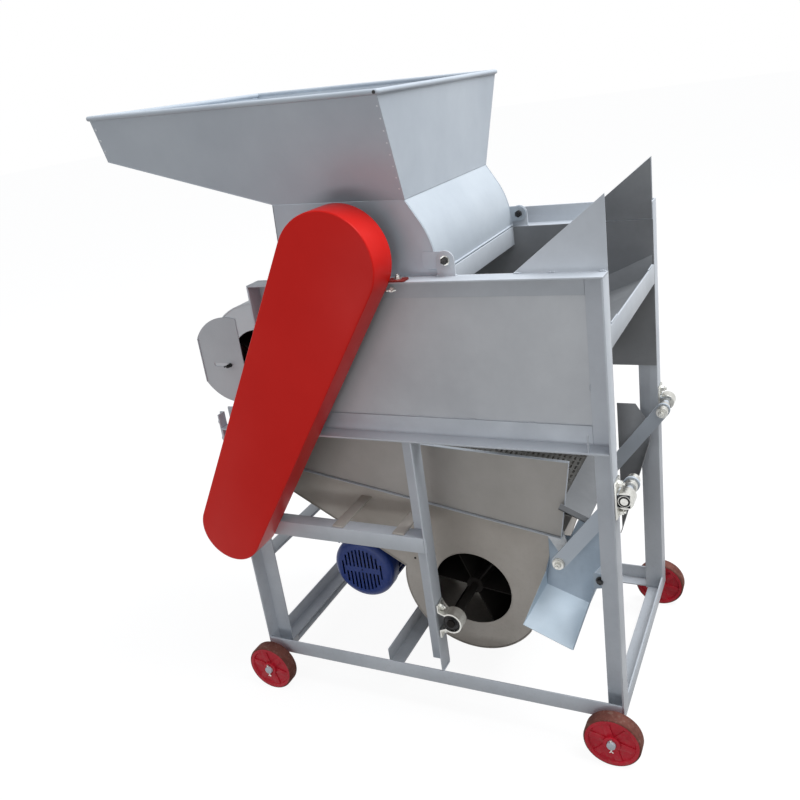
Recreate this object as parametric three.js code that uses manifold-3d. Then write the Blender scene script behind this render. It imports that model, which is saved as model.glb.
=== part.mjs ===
// Wheeled peanut sheller: tilting hopper over a beater drum, two fans, a rocking sieve and its belt drives.
// Millimetres, +Z up. X runs along the machine, Y from the guard side to the back.
// The machine is laid out from its right front corner; the group is then moved to stand at the origin.
import * as THREE from "three";
import { mergeVertices } from "three/addons/utils/BufferGeometryUtils.js";
import Module from "manifold-3d";

const wasm = await Module();
wasm.setup();
const { Manifold, Mesh: SolidMesh } = wasm;

// Shared allowances
const seam = 0.3;
const overrun = 4;
const runGap = 0.5;
const sheet = 2;
const roundSides = 16;
const finePartSides = 8;

// Frame, angle iron
const frameWidth = 569;
const lowerLength = 959;
const boxLength = 795;
const legSize = 45;
const legWall = 4;
const baseSize = 40;
const topZ = 1024;
const midZ = 665;
const motorRailZ = 416;
const sideRailZ = 290;
const midPostX = 439;
const baseMiddleX = 613;
const endRailTopZ = 917;
const endRailHeight = 47;
const frontY = legSize;
const rearY = frameWidth - legSize;
const panelFrontY = frontY + seam + sheet;
const panelRearY = rearY - seam - sheet;

// Wheels and axles
const wheelRadius = 65;
const wheelWidth = 34;
const wheelInset = 20;
const wheelStandoff = 14;
const axleDrop = 26;
const axleRadius = 10;
const axleEnd = 6;
const hubRadius = 19;
const hubRise = 4;
const wheelRim = 13;
const wheelDish = 9;
const spokeCount = 6;
const spokeWidth = 11;
const saddleLong = 26;
const saddleWide = 24;
const saddleInset = 12;

// Beater drum, its cover and the hinge of the cover
const rotorX = -530;
const rotorRise = 50;
const rotorZ = topZ + rotorRise;
const rotorShaft = 15;
const rotorRadius = 100;
const beaterRadius = 8;
const beaterCount = 6;
const discThick = 6;
const rotorEndGap = 14;
const shaftSlotGap = 3;
const coverCentreZ = 1040;
const coverRadius = 187;
const coverLeftX = -723;
const neckLeftX = -715;
const neckRightX = -397;
const neckLeftZ = 1190;
const neckRightZ = 1181;
const notchWidth = 55;
const notchOver = 27;
const hingeX = -323;
const hingeZ = 1056;
const hingePin = 5;
const lugRadius = 20;
const lugThick = 4;
const lugArm = 62;
const lugGap = 3;
const concaveRadius = 125;
const concaveDeep = 12;
const concaveBars = 11;
const concaveSpan = THREE.MathUtils.degToRad(150);
const crossBarX = -340;

// Hopper
const hopperLeftX = -1089;
const hopperRightX = -383;
const hopperLeftZ = 1416;
const hopperRightZ = 1390;
const hopperFlare = 88;
const lipX = -1094;
const lipZ = 1320;
const lipFlare = 58;
const beadRadius = 6;

// Outlet at the right end
const rampTopZ = 906;
const rampKneeX = -36;
const rampKneeZ = 879;
const rampFootX = -95;
const rampFootZ = 856;
const rampEndX = -260;
const rampEndZ = 792;
const wingLong = 185;
const wingHigh = 143;

// Upper fan
const upperFanOut = 41;
const upperX = -boxLength - upperFanOut;
const upperZ = 815;
const upperRadius = 150;
const upperEye = 88;
const upperBackset = 60;
const upperDuctReach = 155;
const upperDuctX = -boxLength + upperDuctReach;
const upperDuctTop = 760;
const upperShaft = 10;
const upperBladeCount = 5;
const fanTipGap = 15;
const bladeThick = 3;
const hubTube = 22;
const eyeBarWide = 24;
const eyeHub = 26;
const studOffset = 98;
const studX = upperX - studOffset;
const studZ = 812;
const studRadius = 4;
const studLong = 14;
const shutterOffset = 89;
const shutterX = upperX - shutterOffset;
const shutterZ = 823;
const shutterRadius = 110;
const shutterLeft = 103;
const shutterRight = 32;
const shutterTravel = 45;
const shutterFold = 14;

// Lower fan, its trunk and the motor plate
const lowerX = -404;
const lowerZ = 183;
const lowerShaft = 10;
const lowerEye = 104;
const trunkFrontY = 157;
const trunkRearY = frameWidth - trunkFrontY;
const lowerBladeCount = 6;
const lowerBladeTip = 140;
const scrollRight = 178;
const scrollLeft = 187;
const scrollLift = THREE.MathUtils.degToRad(36);
const trunkLeftX = -880;
const trunkLeftZ = 400;
const slopeTopX = -770;
const slopeTopZ = 336;
const slopeEndX = -590;
const slopeEndZ = 225;
const trunkRightX = -167;
const trunkRightZ = 357;
const sieveGap = 10;
const bearerWide = 30;
const bearerThick = 5;
const bearerShares = [0.27, 0.5];
const motorPlateThick = 5;
const motorPlateLong = 180;
const motorPlateMargin = 8;

// Motor
const motorX = -720;
const motorZ = 194;
const motorFrontY = 150;
const fanCoverLong = 45;
const fanCoverRadius = 88.5;
const grilleShare = 0.72;
const grilleHubShare = 0.3;
const motorBodyRadius = 78;
const motorBeltGap = 48;
const motorEndLong = 22;
const motorEndRadius = 62;
const motorShaft = 12;
const footHeight = 89;
const footWide = 140;
const footMargin = 40;
const footThick = 12;
const finCount = 24;
const finRise = 7;
const finThick = 3;
const terminalRise = 26;
const terminalLong = 96;
const terminalWide = 84;

// Sieve, its rockers and the crank that shakes it
const sieveFrontY = 130;
const sieveRearY = frameWidth - sieveFrontY;
const seamLeftX = -842;
const seamLeftZ = 500;
const seamRightX = -154;
const seamRightZ = 380;
const sieveLeftX = -880;
const sieveTopMidX = -404;
const sieveTopMidZ = 593;
const sieveTopRightX = -124;
const sieveTopRightZ = 578;
const sieveTopLeftZ = 622;
const screenRise = 62;
const screenRows = 4;
const screenColumns = 11;
const screenRib = 14;
const troughLeftX = -152;
const troughLeftZ = 465;
const troughRightX = -88;
const troughRightZ = 435;
const troughLip = 16;
const troughFrontY = 112;
const pivotX = 19;
const pivotZ = 559;
const rockerRunX = -169;
const rockerDropZ = -216;
const rockerLeftX = -785;
const rockerLeftZ = 640;
const rockerWide = 34;
const rockerThick = 6;
const rockerY = 85;
const rockerPin = 8;
const rockerTube = 14;
const tubeFrontY = 65;
const tubeBackY = 108;
const bushFrontY = 75;
const bushBackY = 100;
const pivotClampDeep = 30;
const pivotClampTall = 30;
const pivotClampFrontY = 8;
const hangerWide = 40;
const hangerY = 30;
const hangerThick = 6;
const crankX = -902;
const crankRise = 33;
const crankZ = motorRailZ + crankRise;
const crankShaft = 10;
const crankDisc = 18;
const crankThrow = 4;
const crankFrontY = 50;
const crankBackY = 64;
const strapWall = 9;
const rodPinX = -836;
const rodPinZ = 524;
const rodWide = 20;
const rodPin = 7;

// Pulleys, belts and their guards
const beltWide = 12;
const beltDeep = 10;
const grooveDeep = 8;
const grooveGap = 1;
const flangeWide = 4;
const pulleySides = 20;
const frontBeltY = -46;
const rearBeltOut = 31;
const rearBeltY = frameWidth + rearBeltOut;
const motorBeltInset = 99;
const motorBeltY = frameWidth - motorBeltInset;
const motorBodyLong = motorBeltY - motorBeltGap - motorEndLong - fanCoverLong - motorFrontY;
const footLong = motorBodyLong - 2 * footMargin;
const rotorFrontPulley = 60;
const crankPulley = 55;
const rotorRearPulley = 90;
const fanOuterPulley = 22.5;
const upperPulley = 22.5;
const fanInnerPulley = 50;
const motorPulley = 40;
const guardDeep = 81;
const guardSheet = 1.6;
const guardShift = 5;
const guardRise = 4;
const guardTopX = rotorX - guardShift;
const guardTopZ = rotorZ + guardRise;
const guardTopRadius = 113;
const guardLowX = -934;
const guardLowZ = 424;
const guardLowRadius = 84;
const guardTabWide = 42;
const guardTabLong = 26;
const guardTabThick = 3;
const guardTabX = -400;
const rearGuardMargin = 26;
const rearGuardDeep = 60;
const shaftEnd = 8;

// Bearings
const pillowHalf = 68;
const pillowFoot = 12;
const pillowHousing = 34;
const bearingFrontY = 6;
const bearingBackY = 39;
const crankPillowHalf = 50;
const postBearingHalf = 46;
const postBearingPlate = 6;
const postBearingHousing = 25;

// Kernel chute and rear shield
const chuteFrontLeftX = -218;
const chuteFrontLeftZ = 221;
const chuteFrontRightX = -108;
const chuteFrontRightZ = 174;
const chuteFoldY = 120;
const chuteFoldLeftX = -194;
const chuteFoldLeftZ = 256;
const chuteFoldRightX = -96;
const chuteFoldRightZ = 219;
const chuteWallLeft = 34;
const chuteWallRightX = -72;
const chuteWallRightZ = 287;
const chuteBackY = 154;
const chuteBackRise = 90;
const chuteTabTopZ = 345;
const chuteTabX = -49;
const chuteTabHalf = 17;
const shieldInset = 69;
const shieldY = frameWidth - shieldInset;
const shieldTopLeftX = -98;
const shieldTopLeftZ = 565;
const shieldTopRightX = -51;
const shieldShoulderX = -18;
const shieldShoulderZ = 509;
const shieldLowShoulderZ = 462;
const shieldFootZ = 192;
const shieldFlange = 17;
const shieldTabTall = 30;

// Solids from three.js shapes

function solidOf(geometry) {
  const bare = new THREE.BufferGeometry();
  bare.setAttribute("position", geometry.getAttribute("position"));
  bare.setIndex(geometry.getIndex());
  const merged = mergeVertices(bare, 1e-3);
  return new Manifold(
    new SolidMesh({
      numProp: 3,
      vertProperties: new Float32Array(merged.attributes.position.array),
      triVerts: new Uint32Array(merged.index.array),
    }),
  );
}

// Turns a shape's plane and its depth onto the machine: an outline along x is (y, z), along y is (x, z).
const turns = {
  x: new THREE.Matrix4().makeBasis(
    new THREE.Vector3(0, 1, 0),
    new THREE.Vector3(0, 0, 1),
    new THREE.Vector3(1, 0, 0),
  ),
  y: new THREE.Matrix4().makeBasis(
    new THREE.Vector3(1, 0, 0),
    new THREE.Vector3(0, 0, 1),
    new THREE.Vector3(0, -1, 0),
  ),
  z: new THREE.Matrix4(),
};

function extrude(axis, shape, from, to, arcSteps = finePartSides) {
  const geometry = new THREE.ExtrudeGeometry(shape, {
    depth: to - from,
    bevelEnabled: false,
    curveSegments: arcSteps,
  });
  geometry.translate(0, 0, axis === "y" ? -to : from);
  geometry.applyMatrix4(turns[axis]);
  return solidOf(geometry);
}

function prism(axis, outline, from, to) {
  const shape = new THREE.Shape(outline.map(([u, v]) => new THREE.Vector2(u, v)));
  return extrude(axis, shape, from, to);
}

function box(x0, x1, y0, y1, z0, z1) {
  const geometry = new THREE.BoxGeometry(
    Math.abs(x1 - x0),
    Math.abs(y1 - y0),
    Math.abs(z1 - z0),
  );
  geometry.translate((x0 + x1) / 2, (y0 + y1) / 2, (z0 + z1) / 2);
  return solidOf(geometry);
}

// A round bar along Y.
function rod(x, z, radius, y0, y1, sides = roundSides) {
  const geometry = new THREE.CylinderGeometry(radius, radius, Math.abs(y1 - y0), sides);
  geometry.translate(x, (y0 + y1) / 2, z);
  return solidOf(geometry);
}

const join = (...pieces) => Manifold.union(pieces);
const hullOf = (points) => Manifold.hull(points);

// An angle iron: its corner, the signed reach of its two flanges, and where it starts and ends.
function angle(axis, [u, v], [du, dv], from, to) {
  const su = Math.sign(du) * legWall;
  const sv = Math.sign(dv) * legWall;
  const outline = [
    [u, v],
    [u + du, v],
    [u + du, v + sv],
    [u + su, v + sv],
    [u + su, v + dv],
    [u, v + dv],
  ];
  return prism(axis, outline, from, to);
}

// Points on an arc in the plane of an outline, angles in radians.
function arc(x, z, radius, start, end, steps) {
  return Array.from({ length: steps + 1 }, (_, i) => {
    const turn = start + ((end - start) * i) / steps;
    return [x + radius * Math.cos(turn), z + radius * Math.sin(turn)];
  });
}

// The outline that a tight belt takes round circles given as [x, z, radius].
function wrap(circles, grow, steps = pulleySides) {
  const points = circles.flatMap(([x, z, radius]) =>
    arc(x, z, radius + grow, 0, 2 * Math.PI, steps).slice(1),
  );
  return convexOutline(points);
}

function convexOutline(points) {
  const sorted = [...points].sort((p, q) => p[0] - q[0] || p[1] - q[1]);
  const turn = (a, b, c) => (b[0] - a[0]) * (c[1] - a[1]) - (b[1] - a[1]) * (c[0] - a[0]);
  const chain = (list) => {
    const kept = [];
    for (const point of list) {
      while (kept.length > 1 && turn(kept.at(-2), kept.at(-1), point) <= 0) kept.pop();
      kept.push(point);
    }
    return kept.slice(0, -1);
  };
  return [...chain(sorted), ...chain([...sorted].reverse())];
}

// Paints and the group

const group = new THREE.Group();
const paints = {
  frame: { color: 0xaab2b8, roughness: 0.5, metalness: 0.35 },
  sheet: { color: 0x9ba1a6, roughness: 0.5, metalness: 0.35 },
  hopper: { color: 0xb4bcc4, roughness: 0.45, metalness: 0.35 },
  red: { color: 0xc2241e, roughness: 0.4, metalness: 0.0 },
  wheel: { color: 0xa3222a, roughness: 0.6, metalness: 0.0 },
  blue: { color: 0x1c3f9a, roughness: 0.45, metalness: 0.1 },
  steel: { color: 0x8d8f90, roughness: 0.35, metalness: 0.9 },
  casting: { color: 0x6e7478, roughness: 0.6, metalness: 0.6 },
  zinc: { color: 0xb6b5ae, roughness: 0.4, metalness: 0.8 },
  rubber: { color: 0x1b1b1b, roughness: 0.8, metalness: 0.0 },
};

function add(name, solid, paint) {
  const made = solid.getMesh();
  const geometry = new THREE.BufferGeometry();
  geometry.setAttribute("position", new THREE.BufferAttribute(made.vertProperties, made.numProp));
  geometry.setIndex(new THREE.BufferAttribute(made.triVerts, 1));
  const flat = geometry.toNonIndexed();
  flat.computeVertexNormals();
  const mesh = new THREE.Mesh(flat, new THREE.MeshStandardMaterial(paints[paint]));
  mesh.name = name;
  group.add(mesh);
}

// The machine has a guard side at the front and a belt side at the rear; most frame pieces come in both.
const sides = [
  { name: "front", out: -1, plane: frontY, edge: 0 },
  { name: "rear", out: 1, plane: rearY, edge: frameWidth },
];

// A span in Y given on the front side, mirrored for the rear.
function spanY(side, near, far) {
  return side.out < 0 ? [near, far] : [frameWidth - far, frameWidth - near];
}

// Legs and posts

function rockerClamp(side) {
  const [y0, y1] = spanY(side, pivotClampFrontY, pivotClampFrontY + pivotClampDeep);
  const [p0, p1] = spanY(side, pivotClampFrontY + pivotClampDeep / 2, bushBackY + shaftEnd);
  const low = pivotZ - pivotClampTall / 2;
  const block = box(-legWall / 2, pivotX + rockerPin + legWall, y0, y1, low, low + pivotClampTall);
  return join(block, rod(pivotX, pivotZ, rockerPin, p0, p1, roundSides));
}

for (const side of sides) {
  const reach = side.out * legSize;
  const rightTop = topZ - legWall - seam;
  let right = angle("z", [0, side.plane], [-legSize, reach], 0, rightTop);
  if (side.out > 0) {
    const tall = topZ - legWall + legSize;
    const [y0, y1] = spanY(side, 0, legSize);
    right = join(right, box(-legWall, 0, y0, y1, 0, tall));
  }
  add("leg_" + side.name + "_right", join(right, rockerClamp(side)), "frame");

  const left = angle("z", [-lowerLength, side.plane], [legSize, reach], 0, midZ - legWall - seam);
  add("leg_" + side.name + "_left", left, "frame");

  const post = angle(
    "z",
    [-midPostX, side.plane],
    [-legSize, reach],
    baseSize + seam,
    midZ - legWall - seam,
  );
  add("post_" + side.name + "_middle", post, "frame");

  const low = midZ - legWall + legSize + seam;
  const high = side.out < 0 ? topZ - legSize - seam : topZ - legWall - seam;
  const upper = angle("z", [-boxLength, side.plane], [legSize, reach], low, high);
  const [y0, y1] = spanY(side, 0, legSize - legWall - seam);
  const web = box(-boxLength, -boxLength + legWall, y0, y1, midZ + seam, topZ - legWall - seam);
  add("post_" + side.name + "_box", join(upper, web), "frame");
}

// Rails of the box

function hingeLug(side) {
  const [y0, y1] = spanY(side, frontY - lugGap - lugThick, frontY - lugGap);
  const [p0, p1] = spanY(side, frontY - lugGap - lugThick - overrun, frontY + sheet + overrun);
  const disc = rod(hingeX, hingeZ, lugRadius, y0, y1);
  const foot = box(hingeX - lugRadius, hingeX + lugRadius, y0, y1, topZ - legWall / 2, hingeZ);
  return join(disc, foot, rod(hingeX, hingeZ, hingePin, p0, p1));
}

function wing(side) {
  const [y0, y1] = spanY(side, frontY - sheet, frontY);
  const foot = topZ - legWall / 2;
  const outline = [
    [-wingLong, foot],
    [0, foot],
    [0, topZ + wingHigh],
    [-wingLong, topZ],
  ];
  return prism("y", outline, y0, y1);
}

const frontTop = join(
  angle("x", [frontY, topZ], [-legSize, -legSize], -boxLength, -legSize - seam),
  box(-legSize - overrun, 0, 0, legSize, topZ - legWall, topZ),
  hingeLug(sides[0]),
  wing(sides[0]),
);
add("rail_front_top", frontTop, "frame");

// The rear rail's standing flange is slotted for the drum's shaft.
const shaftSlot = box(
  rotorX - rotorShaft - shaftSlotGap,
  rotorX + rotorShaft + shaftSlotGap,
  frameWidth - legWall - overrun,
  frameWidth + overrun,
  rotorZ - rotorShaft - shaftSlotGap,
  rotorZ,
);
const rearTop = join(
  angle("x", [frameWidth, topZ - legWall], [-legSize, legSize], -boxLength, -legWall - seam).subtract(
    shaftSlot,
  ),
  hingeLug(sides[1]),
  wing(sides[1]).subtract(
    box(-legWall - seam, overrun, rearY - overrun, frameWidth + overrun, 0, topZ + legSize),
  ),
);
add("rail_rear_top", rearTop, "frame");

add(
  "rail_right_end",
  angle(
    "y",
    [0, endRailTopZ - endRailHeight],
    [-baseSize, endRailHeight],
    panelFrontY + seam,
    panelRearY - seam,
  ),
  "frame",
);

function rockerHanger(side) {
  const [y0, y1] = spanY(side, hangerY, hangerY + hangerThick);
  const [p0, p1] = spanY(side, hangerY, bushBackY + shaftEnd);
  const x0 = rockerLeftX - hangerWide / 2;
  const low = rockerLeftZ - hangerWide / 2;
  const plate = box(x0, x0 + hangerWide, y0, y1, low, midZ - legWall / 2);
  return join(plate, rod(rockerLeftX, rockerLeftZ, rockerPin, p0, p1));
}

for (const side of sides) {
  const ledge = midZ - legWall;
  const reach = side.out * legSize;
  const [y0, y1] = spanY(side, 0, legSize - legWall - seam);
  const rail = join(
    angle("x", [side.plane, ledge], [reach, legSize], -lowerLength, -legSize - seam),
    box(-legSize - overrun, -legWall - seam, y0, y1, ledge, midZ),
    rockerHanger(side),
  );
  add("rail_" + side.name + "_middle", rail, "frame");

  const motorRail = angle(
    "x",
    [side.edge, motorRailZ],
    [-side.out * baseSize, -baseSize],
    -lowerLength + legWall + seam,
    -midPostX - legWall - seam,
  );
  add("rail_" + side.name + "_motor", motorRail, "frame");
}

add(
  "rail_left_side",
  angle(
    "y",
    [-lowerLength + legWall, sideRailZ],
    [baseSize, -baseSize],
    frontY + seam,
    rearY - seam,
  ),
  "frame",
);

// Base rails with the axles welded under the two outer ones

for (const side of sides) {
  const rail = angle(
    "x",
    [side.edge, 0],
    [-side.out * baseSize, baseSize],
    -lowerLength + legWall + seam,
    -legWall - seam,
  );
  add("base_" + side.name, rail, "frame");
}

function axle(x) {
  const from = -wheelStandoff - wheelWidth - hubRise - axleEnd;
  const bar = rod(x, -axleDrop, axleRadius, from, frameWidth - from);
  const saddles = sides.map((side) => {
    const [y0, y1] = spanY(side, frontY + saddleInset, frontY + saddleInset + saddleLong);
    return box(x - saddleWide / 2, x + saddleWide / 2, y0, y1, -axleDrop, legWall / 2);
  });
  return join(bar, ...saddles);
}

const axleXs = { left: -lowerLength + wheelInset, right: -wheelInset };
for (const [name, x, reach] of [
  ["left", -lowerLength, baseSize],
  ["right", 0, -baseSize],
]) {
  const rail = angle("y", [x, 0], [reach, baseSize], frontY + seam, rearY - seam);
  add("base_" + name, join(rail, axle(axleXs[name])), "frame");
}

add(
  "base_middle",
  angle(
    "y",
    [-baseMiddleX, 0],
    [baseSize, baseSize],
    baseSize + seam,
    frameWidth - baseSize - seam,
  ),
  "frame",
);

function wheel(x, side) {
  const [y0, y1] = spanY(side, -wheelStandoff - wheelWidth, -wheelStandoff);
  const body = rod(x, -axleDrop, wheelRadius, y0, y1, 2 * roundSides);
  const dishRadius = wheelRadius - wheelRim;
  const dishes = join(
    rod(x, -axleDrop, dishRadius, y0 - overrun, y0 + wheelDish),
    rod(x, -axleDrop, dishRadius, y1 - wheelDish, y1 + overrun),
  );
  const spokes = Array.from({ length: spokeCount }, (_, i) =>
    box(x, x + dishRadius + overrun, y0 + hubRise, y1 - hubRise, -spokeWidth / 2, spokeWidth / 2)
      .translate([-x, 0, 0])
      .rotate([0, (360 * i) / spokeCount, 0])
      .translate([x, 0, -axleDrop]),
  );
  const hub = rod(x, -axleDrop, hubRadius, y0 - hubRise, y1 + hubRise);
  const bore = rod(x, -axleDrop, axleRadius + seam, y0 - wheelWidth, y1 + wheelWidth);
  return join(body.subtract(dishes), ...spokes, hub).subtract(bore);
}

for (const side of sides)
  for (const [name, x] of Object.entries(axleXs))
    add("wheel_" + side.name + "_" + name, wheel(x, side), "wheel");

// Side panels of the box

for (const [name, y] of [
  ["front", frontY + seam],
  ["rear", panelRearY],
])
  add("panel_" + name, box(-boxLength, 0, y, y + sheet, midZ - legWall, topZ), "sheet");

// Outlet ramp, bent from one sheet, with a cheek along each panel

function outletRamp() {
  const y0 = panelFrontY + seam;
  const y1 = panelRearY - seam;
  const end = -legWall - seam;
  const top = [
    [end, rampTopZ],
    [rampKneeX, rampKneeZ],
    [rampFootX, rampFootZ],
    [rampEndX, rampEndZ],
  ];
  const under = [...top].reverse().map(([x, z]) => [x, z - sheet]);
  const slab = prism("y", [...top, ...under], y0, y1);
  const cheekOutline = [
    [end, rampTopZ - sheet],
    [end, rampTopZ + wheelWidth],
    [rampEndX, rampEndZ + wheelWidth],
    [rampEndX, rampEndZ - sheet],
    [rampFootX, rampFootZ - sheet],
    [rampKneeX, rampKneeZ - sheet],
  ];
  return join(
    slab,
    prism("y", cheekOutline, y0, y0 + sheet),
    prism("y", cheekOutline, y1 - sheet, y1),
  );
}
add("outlet_ramp", outletRamp(), "sheet");

// Drum: cross bar, concave grid, rotor and its bearings

add(
  "drum_cross_bar",
  angle(
    "y",
    [crossBarX, topZ - legSize],
    [-legSize, legSize],
    panelFrontY + seam,
    panelRearY - seam,
  ),
  "frame",
);

function concaveGrid() {
  const start = -Math.PI / 2 - concaveSpan / 2;
  const outer = concaveRadius + concaveDeep;
  const rib = [
    ...arc(rotorX, rotorZ, outer, start, start + concaveSpan, concaveBars),
    ...arc(rotorX, rotorZ, concaveRadius, start + concaveSpan, start, concaveBars),
  ];
  const y0 = panelFrontY + seam;
  const y1 = panelRearY - seam;
  const middle = frameWidth / 2;
  const ribs = [y0, middle - lugThick / 2, y1 - lugThick].map((y) =>
    prism("y", rib, y, y + lugThick),
  );
  const bars = Array.from({ length: concaveBars }, (_, i) => {
    const turn = start + (concaveSpan * (i + 0.5)) / concaveBars;
    const radius = concaveRadius + concaveDeep / 2;
    return box(-sheet, sheet, y0 + sheet, y1 - sheet, -sheet * 2, sheet * 2)
      .rotate([0, (-turn * 180) / Math.PI, 0])
      .translate([rotorX + radius * Math.cos(turn), 0, rotorZ + radius * Math.sin(turn)]);
  });
  return join(...ribs, ...bars);
}
add("concave_grid", concaveGrid(), "casting");

// A belt pulley turned about a shaft along Y, with one groove
function pulley(x, z, radius, y) {
  const half = beltWide / 2 + grooveGap;
  const edge = half + flangeWide;
  const groove = radius - grooveDeep;
  const profile = [
    [0, -edge],
    [radius, -edge],
    [radius, -half],
    [groove, -half],
    [groove, half],
    [radius, half],
    [radius, edge],
    [0, edge],
  ].map(([r, h]) => new THREE.Vector2(r, h));
  const geometry = new THREE.LatheGeometry(profile, pulleySides);
  geometry.translate(x, y, z);
  return solidOf(geometry);
}

function rotor() {
  const y0 = panelFrontY + rotorEndGap;
  const y1 = panelRearY - rotorEndGap;
  const shaftFrom = frontBeltY - beltWide - shaftEnd;
  const shaftTo = rearBeltY + beltWide + shaftEnd;
  const shaft = rod(rotorX, rotorZ, rotorShaft, shaftFrom, shaftTo);
  const ring = rotorRadius - beaterRadius;
  const discs = [y0, (y0 + y1 - discThick) / 2, y1 - discThick].map((y) =>
    rod(rotorX, rotorZ, ring, y, y + discThick),
  );
  const beaters = Array.from({ length: beaterCount }, (_, i) => {
    const turn = (2 * Math.PI * i) / beaterCount;
    const x = rotorX + ring * Math.cos(turn);
    const z = rotorZ + ring * Math.sin(turn);
    return rod(x, z, beaterRadius, y0 - sheet, y1 + sheet, finePartSides);
  });
  return join(
    shaft,
    ...discs,
    ...beaters,
    pulley(rotorX, rotorZ, rotorFrontPulley, frontBeltY),
    pulley(rotorX, rotorZ, rotorRearPulley, rearBeltY),
  );
}
add("rotor", rotor(), "steel");

// A pillow block that stands on a rail
function pillow(x, z, foot, half, housing, shaft, [y0, y1]) {
  const base = box(x - half, x + half, y0, y1, foot, foot + pillowFoot);
  const neck = box(x - housing, x + housing, y0, y1, foot, z);
  const ring = rod(x, z, housing, y0, y1);
  const cut = rod(x, z, shaft + seam, y0 - overrun, y1 + overrun);
  const flat = box(x - half, x + half, y0 - overrun, y1 + overrun, foot - half, foot);
  return join(base, neck, ring).subtract(join(cut, flat));
}

for (const side of sides)
  add(
    "rotor_bearing_" + side.name,
    pillow(
      rotorX,
      rotorZ,
      topZ + seam,
      pillowHalf,
      pillowHousing,
      rotorShaft,
      spanY(side, bearingFrontY, bearingBackY),
    ),
    "casting",
  );

// Drum cover: rolled sheet with end plates, notched over the shaft and lugged at the hinge

function coverOutline(inset, top, bottom) {
  const radius = coverRadius - inset;
  const cutAngle = Math.asin((neckRightZ - coverCentreZ) / coverRadius);
  const round = arc(rotorX, coverCentreZ, radius, 0, cutAngle, finePartSides);
  return [
    [coverLeftX + inset, bottom],
    [rotorX + radius, bottom],
    ...round,
    [round.at(-1)[0], neckRightZ + top],
    [neckLeftX + inset, neckLeftZ + top],
  ];
}

function drumCover() {
  const foot = topZ + seam;
  const outer = prism("y", coverOutline(0, -seam, foot), frontY, rearY);
  const inner = prism(
    "y",
    coverOutline(sheet, overrun, foot - overrun),
    frontY + sheet,
    rearY - sheet,
  );
  const plug = rod(rotorX, rotorZ, notchOver, frontY - overrun, rearY + overrun);
  const slot = box(
    rotorX - notchWidth / 2,
    rotorX + notchWidth / 2,
    frontY - overrun,
    rearY + overrun,
    foot - overrun,
    rotorZ,
  );
  const lugs = sides.map((side) => {
    const [y0, y1] = spanY(side, frontY, frontY + sheet);
    const arm = box(
      hingeX - lugArm,
      hingeX,
      y0,
      y1,
      hingeZ - lugRadius / 2,
      hingeZ + lugRadius / 2,
    );
    return join(arm, rod(hingeX, hingeZ, lugRadius, y0, y1));
  });
  const bore = rod(hingeX, hingeZ, hingePin + seam, 0, frameWidth);
  return join(outer.subtract(inner).subtract(join(plug, slot)), ...lugs).subtract(bore);
}
add("drum_cover", drumCover(), "hopper");

// Hopper: four flared sheets with a rolled rim

function hopperPoints(inset, over) {
  const points = [];
  for (const side of sides) {
    const y = (flare) => side.plane + side.out * (flare - inset);
    points.push(
      [hopperLeftX + inset, y(hopperFlare), hopperLeftZ + over],
      [hopperRightX - inset, y(hopperFlare), hopperRightZ + over],
      [lipX + inset, y(lipFlare), lipZ + inset],
      [neckLeftX + inset, y(0), neckLeftZ + inset],
      [neckRightX - inset, y(0), neckRightZ + inset],
    );
  }
  return points;
}

// The folded rim stands out from the sheets all round.
function rimPoints() {
  const points = [];
  for (const side of sides)
    for (const [x, z] of [
      [hopperLeftX - beadRadius, hopperLeftZ],
      [hopperRightX + beadRadius, hopperRightZ],
    ]) {
      const y = side.plane + side.out * (hopperFlare + beadRadius);
      points.push([x, y, z - beadRadius], [x, y, z + beadRadius]);
    }
  return points;
}

// The neck is cut straight down through the floor, inside its four sheets.
function neckCut() {
  const points = [];
  for (const y of [frontY + sheet, rearY - sheet])
    for (const [x, z] of [
      [neckLeftX + sheet, neckLeftZ],
      [neckRightX - sheet, neckRightZ],
    ])
      points.push([x, y, z - overrun], [x, y, z + sheet + seam]);
  return hullOf(points);
}

function hopper() {
  const shell = join(hullOf(hopperPoints(0, 0)), hullOf(rimPoints()));
  return shell.subtract(join(hullOf(hopperPoints(sheet, 2 * beadRadius)), neckCut()));
}
add("hopper", hopper(), "hopper");

// Upper fan: round case with a duct, paddle fan and sliding air shutter

function upperCase() {
  const y0 = upperBackset;
  const y1 = frameWidth - upperBackset;
  const low = upperZ - upperRadius;
  const outer = join(
    rod(upperX, upperZ, upperRadius, y0, y1, 2 * roundSides),
    box(upperX, upperDuctX, y0, y1, low, upperDuctTop),
  );
  const inner = join(
    rod(upperX, upperZ, upperRadius - sheet, y0 + sheet, y1 - sheet, 2 * roundSides),
    box(upperX, upperDuctX + overrun, y0 + sheet, y1 - sheet, low + sheet, upperDuctTop - sheet),
  );
  const eye = rod(upperX, upperZ, upperEye, y0 - overrun, y1 + overrun);
  const bars = sides.map((side) => {
    const [b0, b1] = spanY(side, y0, y0 + legWall);
    const half = upperEye + sheet;
    const bar = box(
      upperX - eyeBarWide / 2,
      upperX + eyeBarWide / 2,
      b0,
      b1,
      upperZ - half,
      upperZ + half,
    );
    return join(bar, rod(upperX, upperZ, eyeHub, b0, b1));
  });
  const feet = sides.map((side) => {
    const [f0, f1] = spanY(side, panelFrontY + seam, y0 + sheet);
    const x0 = -boxLength + legSize;
    const ear = box(x0, x0 + bearerWide, f0, f1, low + eyeHub, low + eyeHub + legSize);
    return ear;
  });
  const stud = rod(studX, studZ, studRadius, y0 - studLong, y0 + sheet, finePartSides);
  const body = join(outer.subtract(inner).subtract(eye), ...bars, ...feet, stud);
  return body.subtract(rod(upperX, upperZ, upperShaft + seam, 0, frameWidth));
}
add("upper_fan_case", upperCase(), "sheet");

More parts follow.
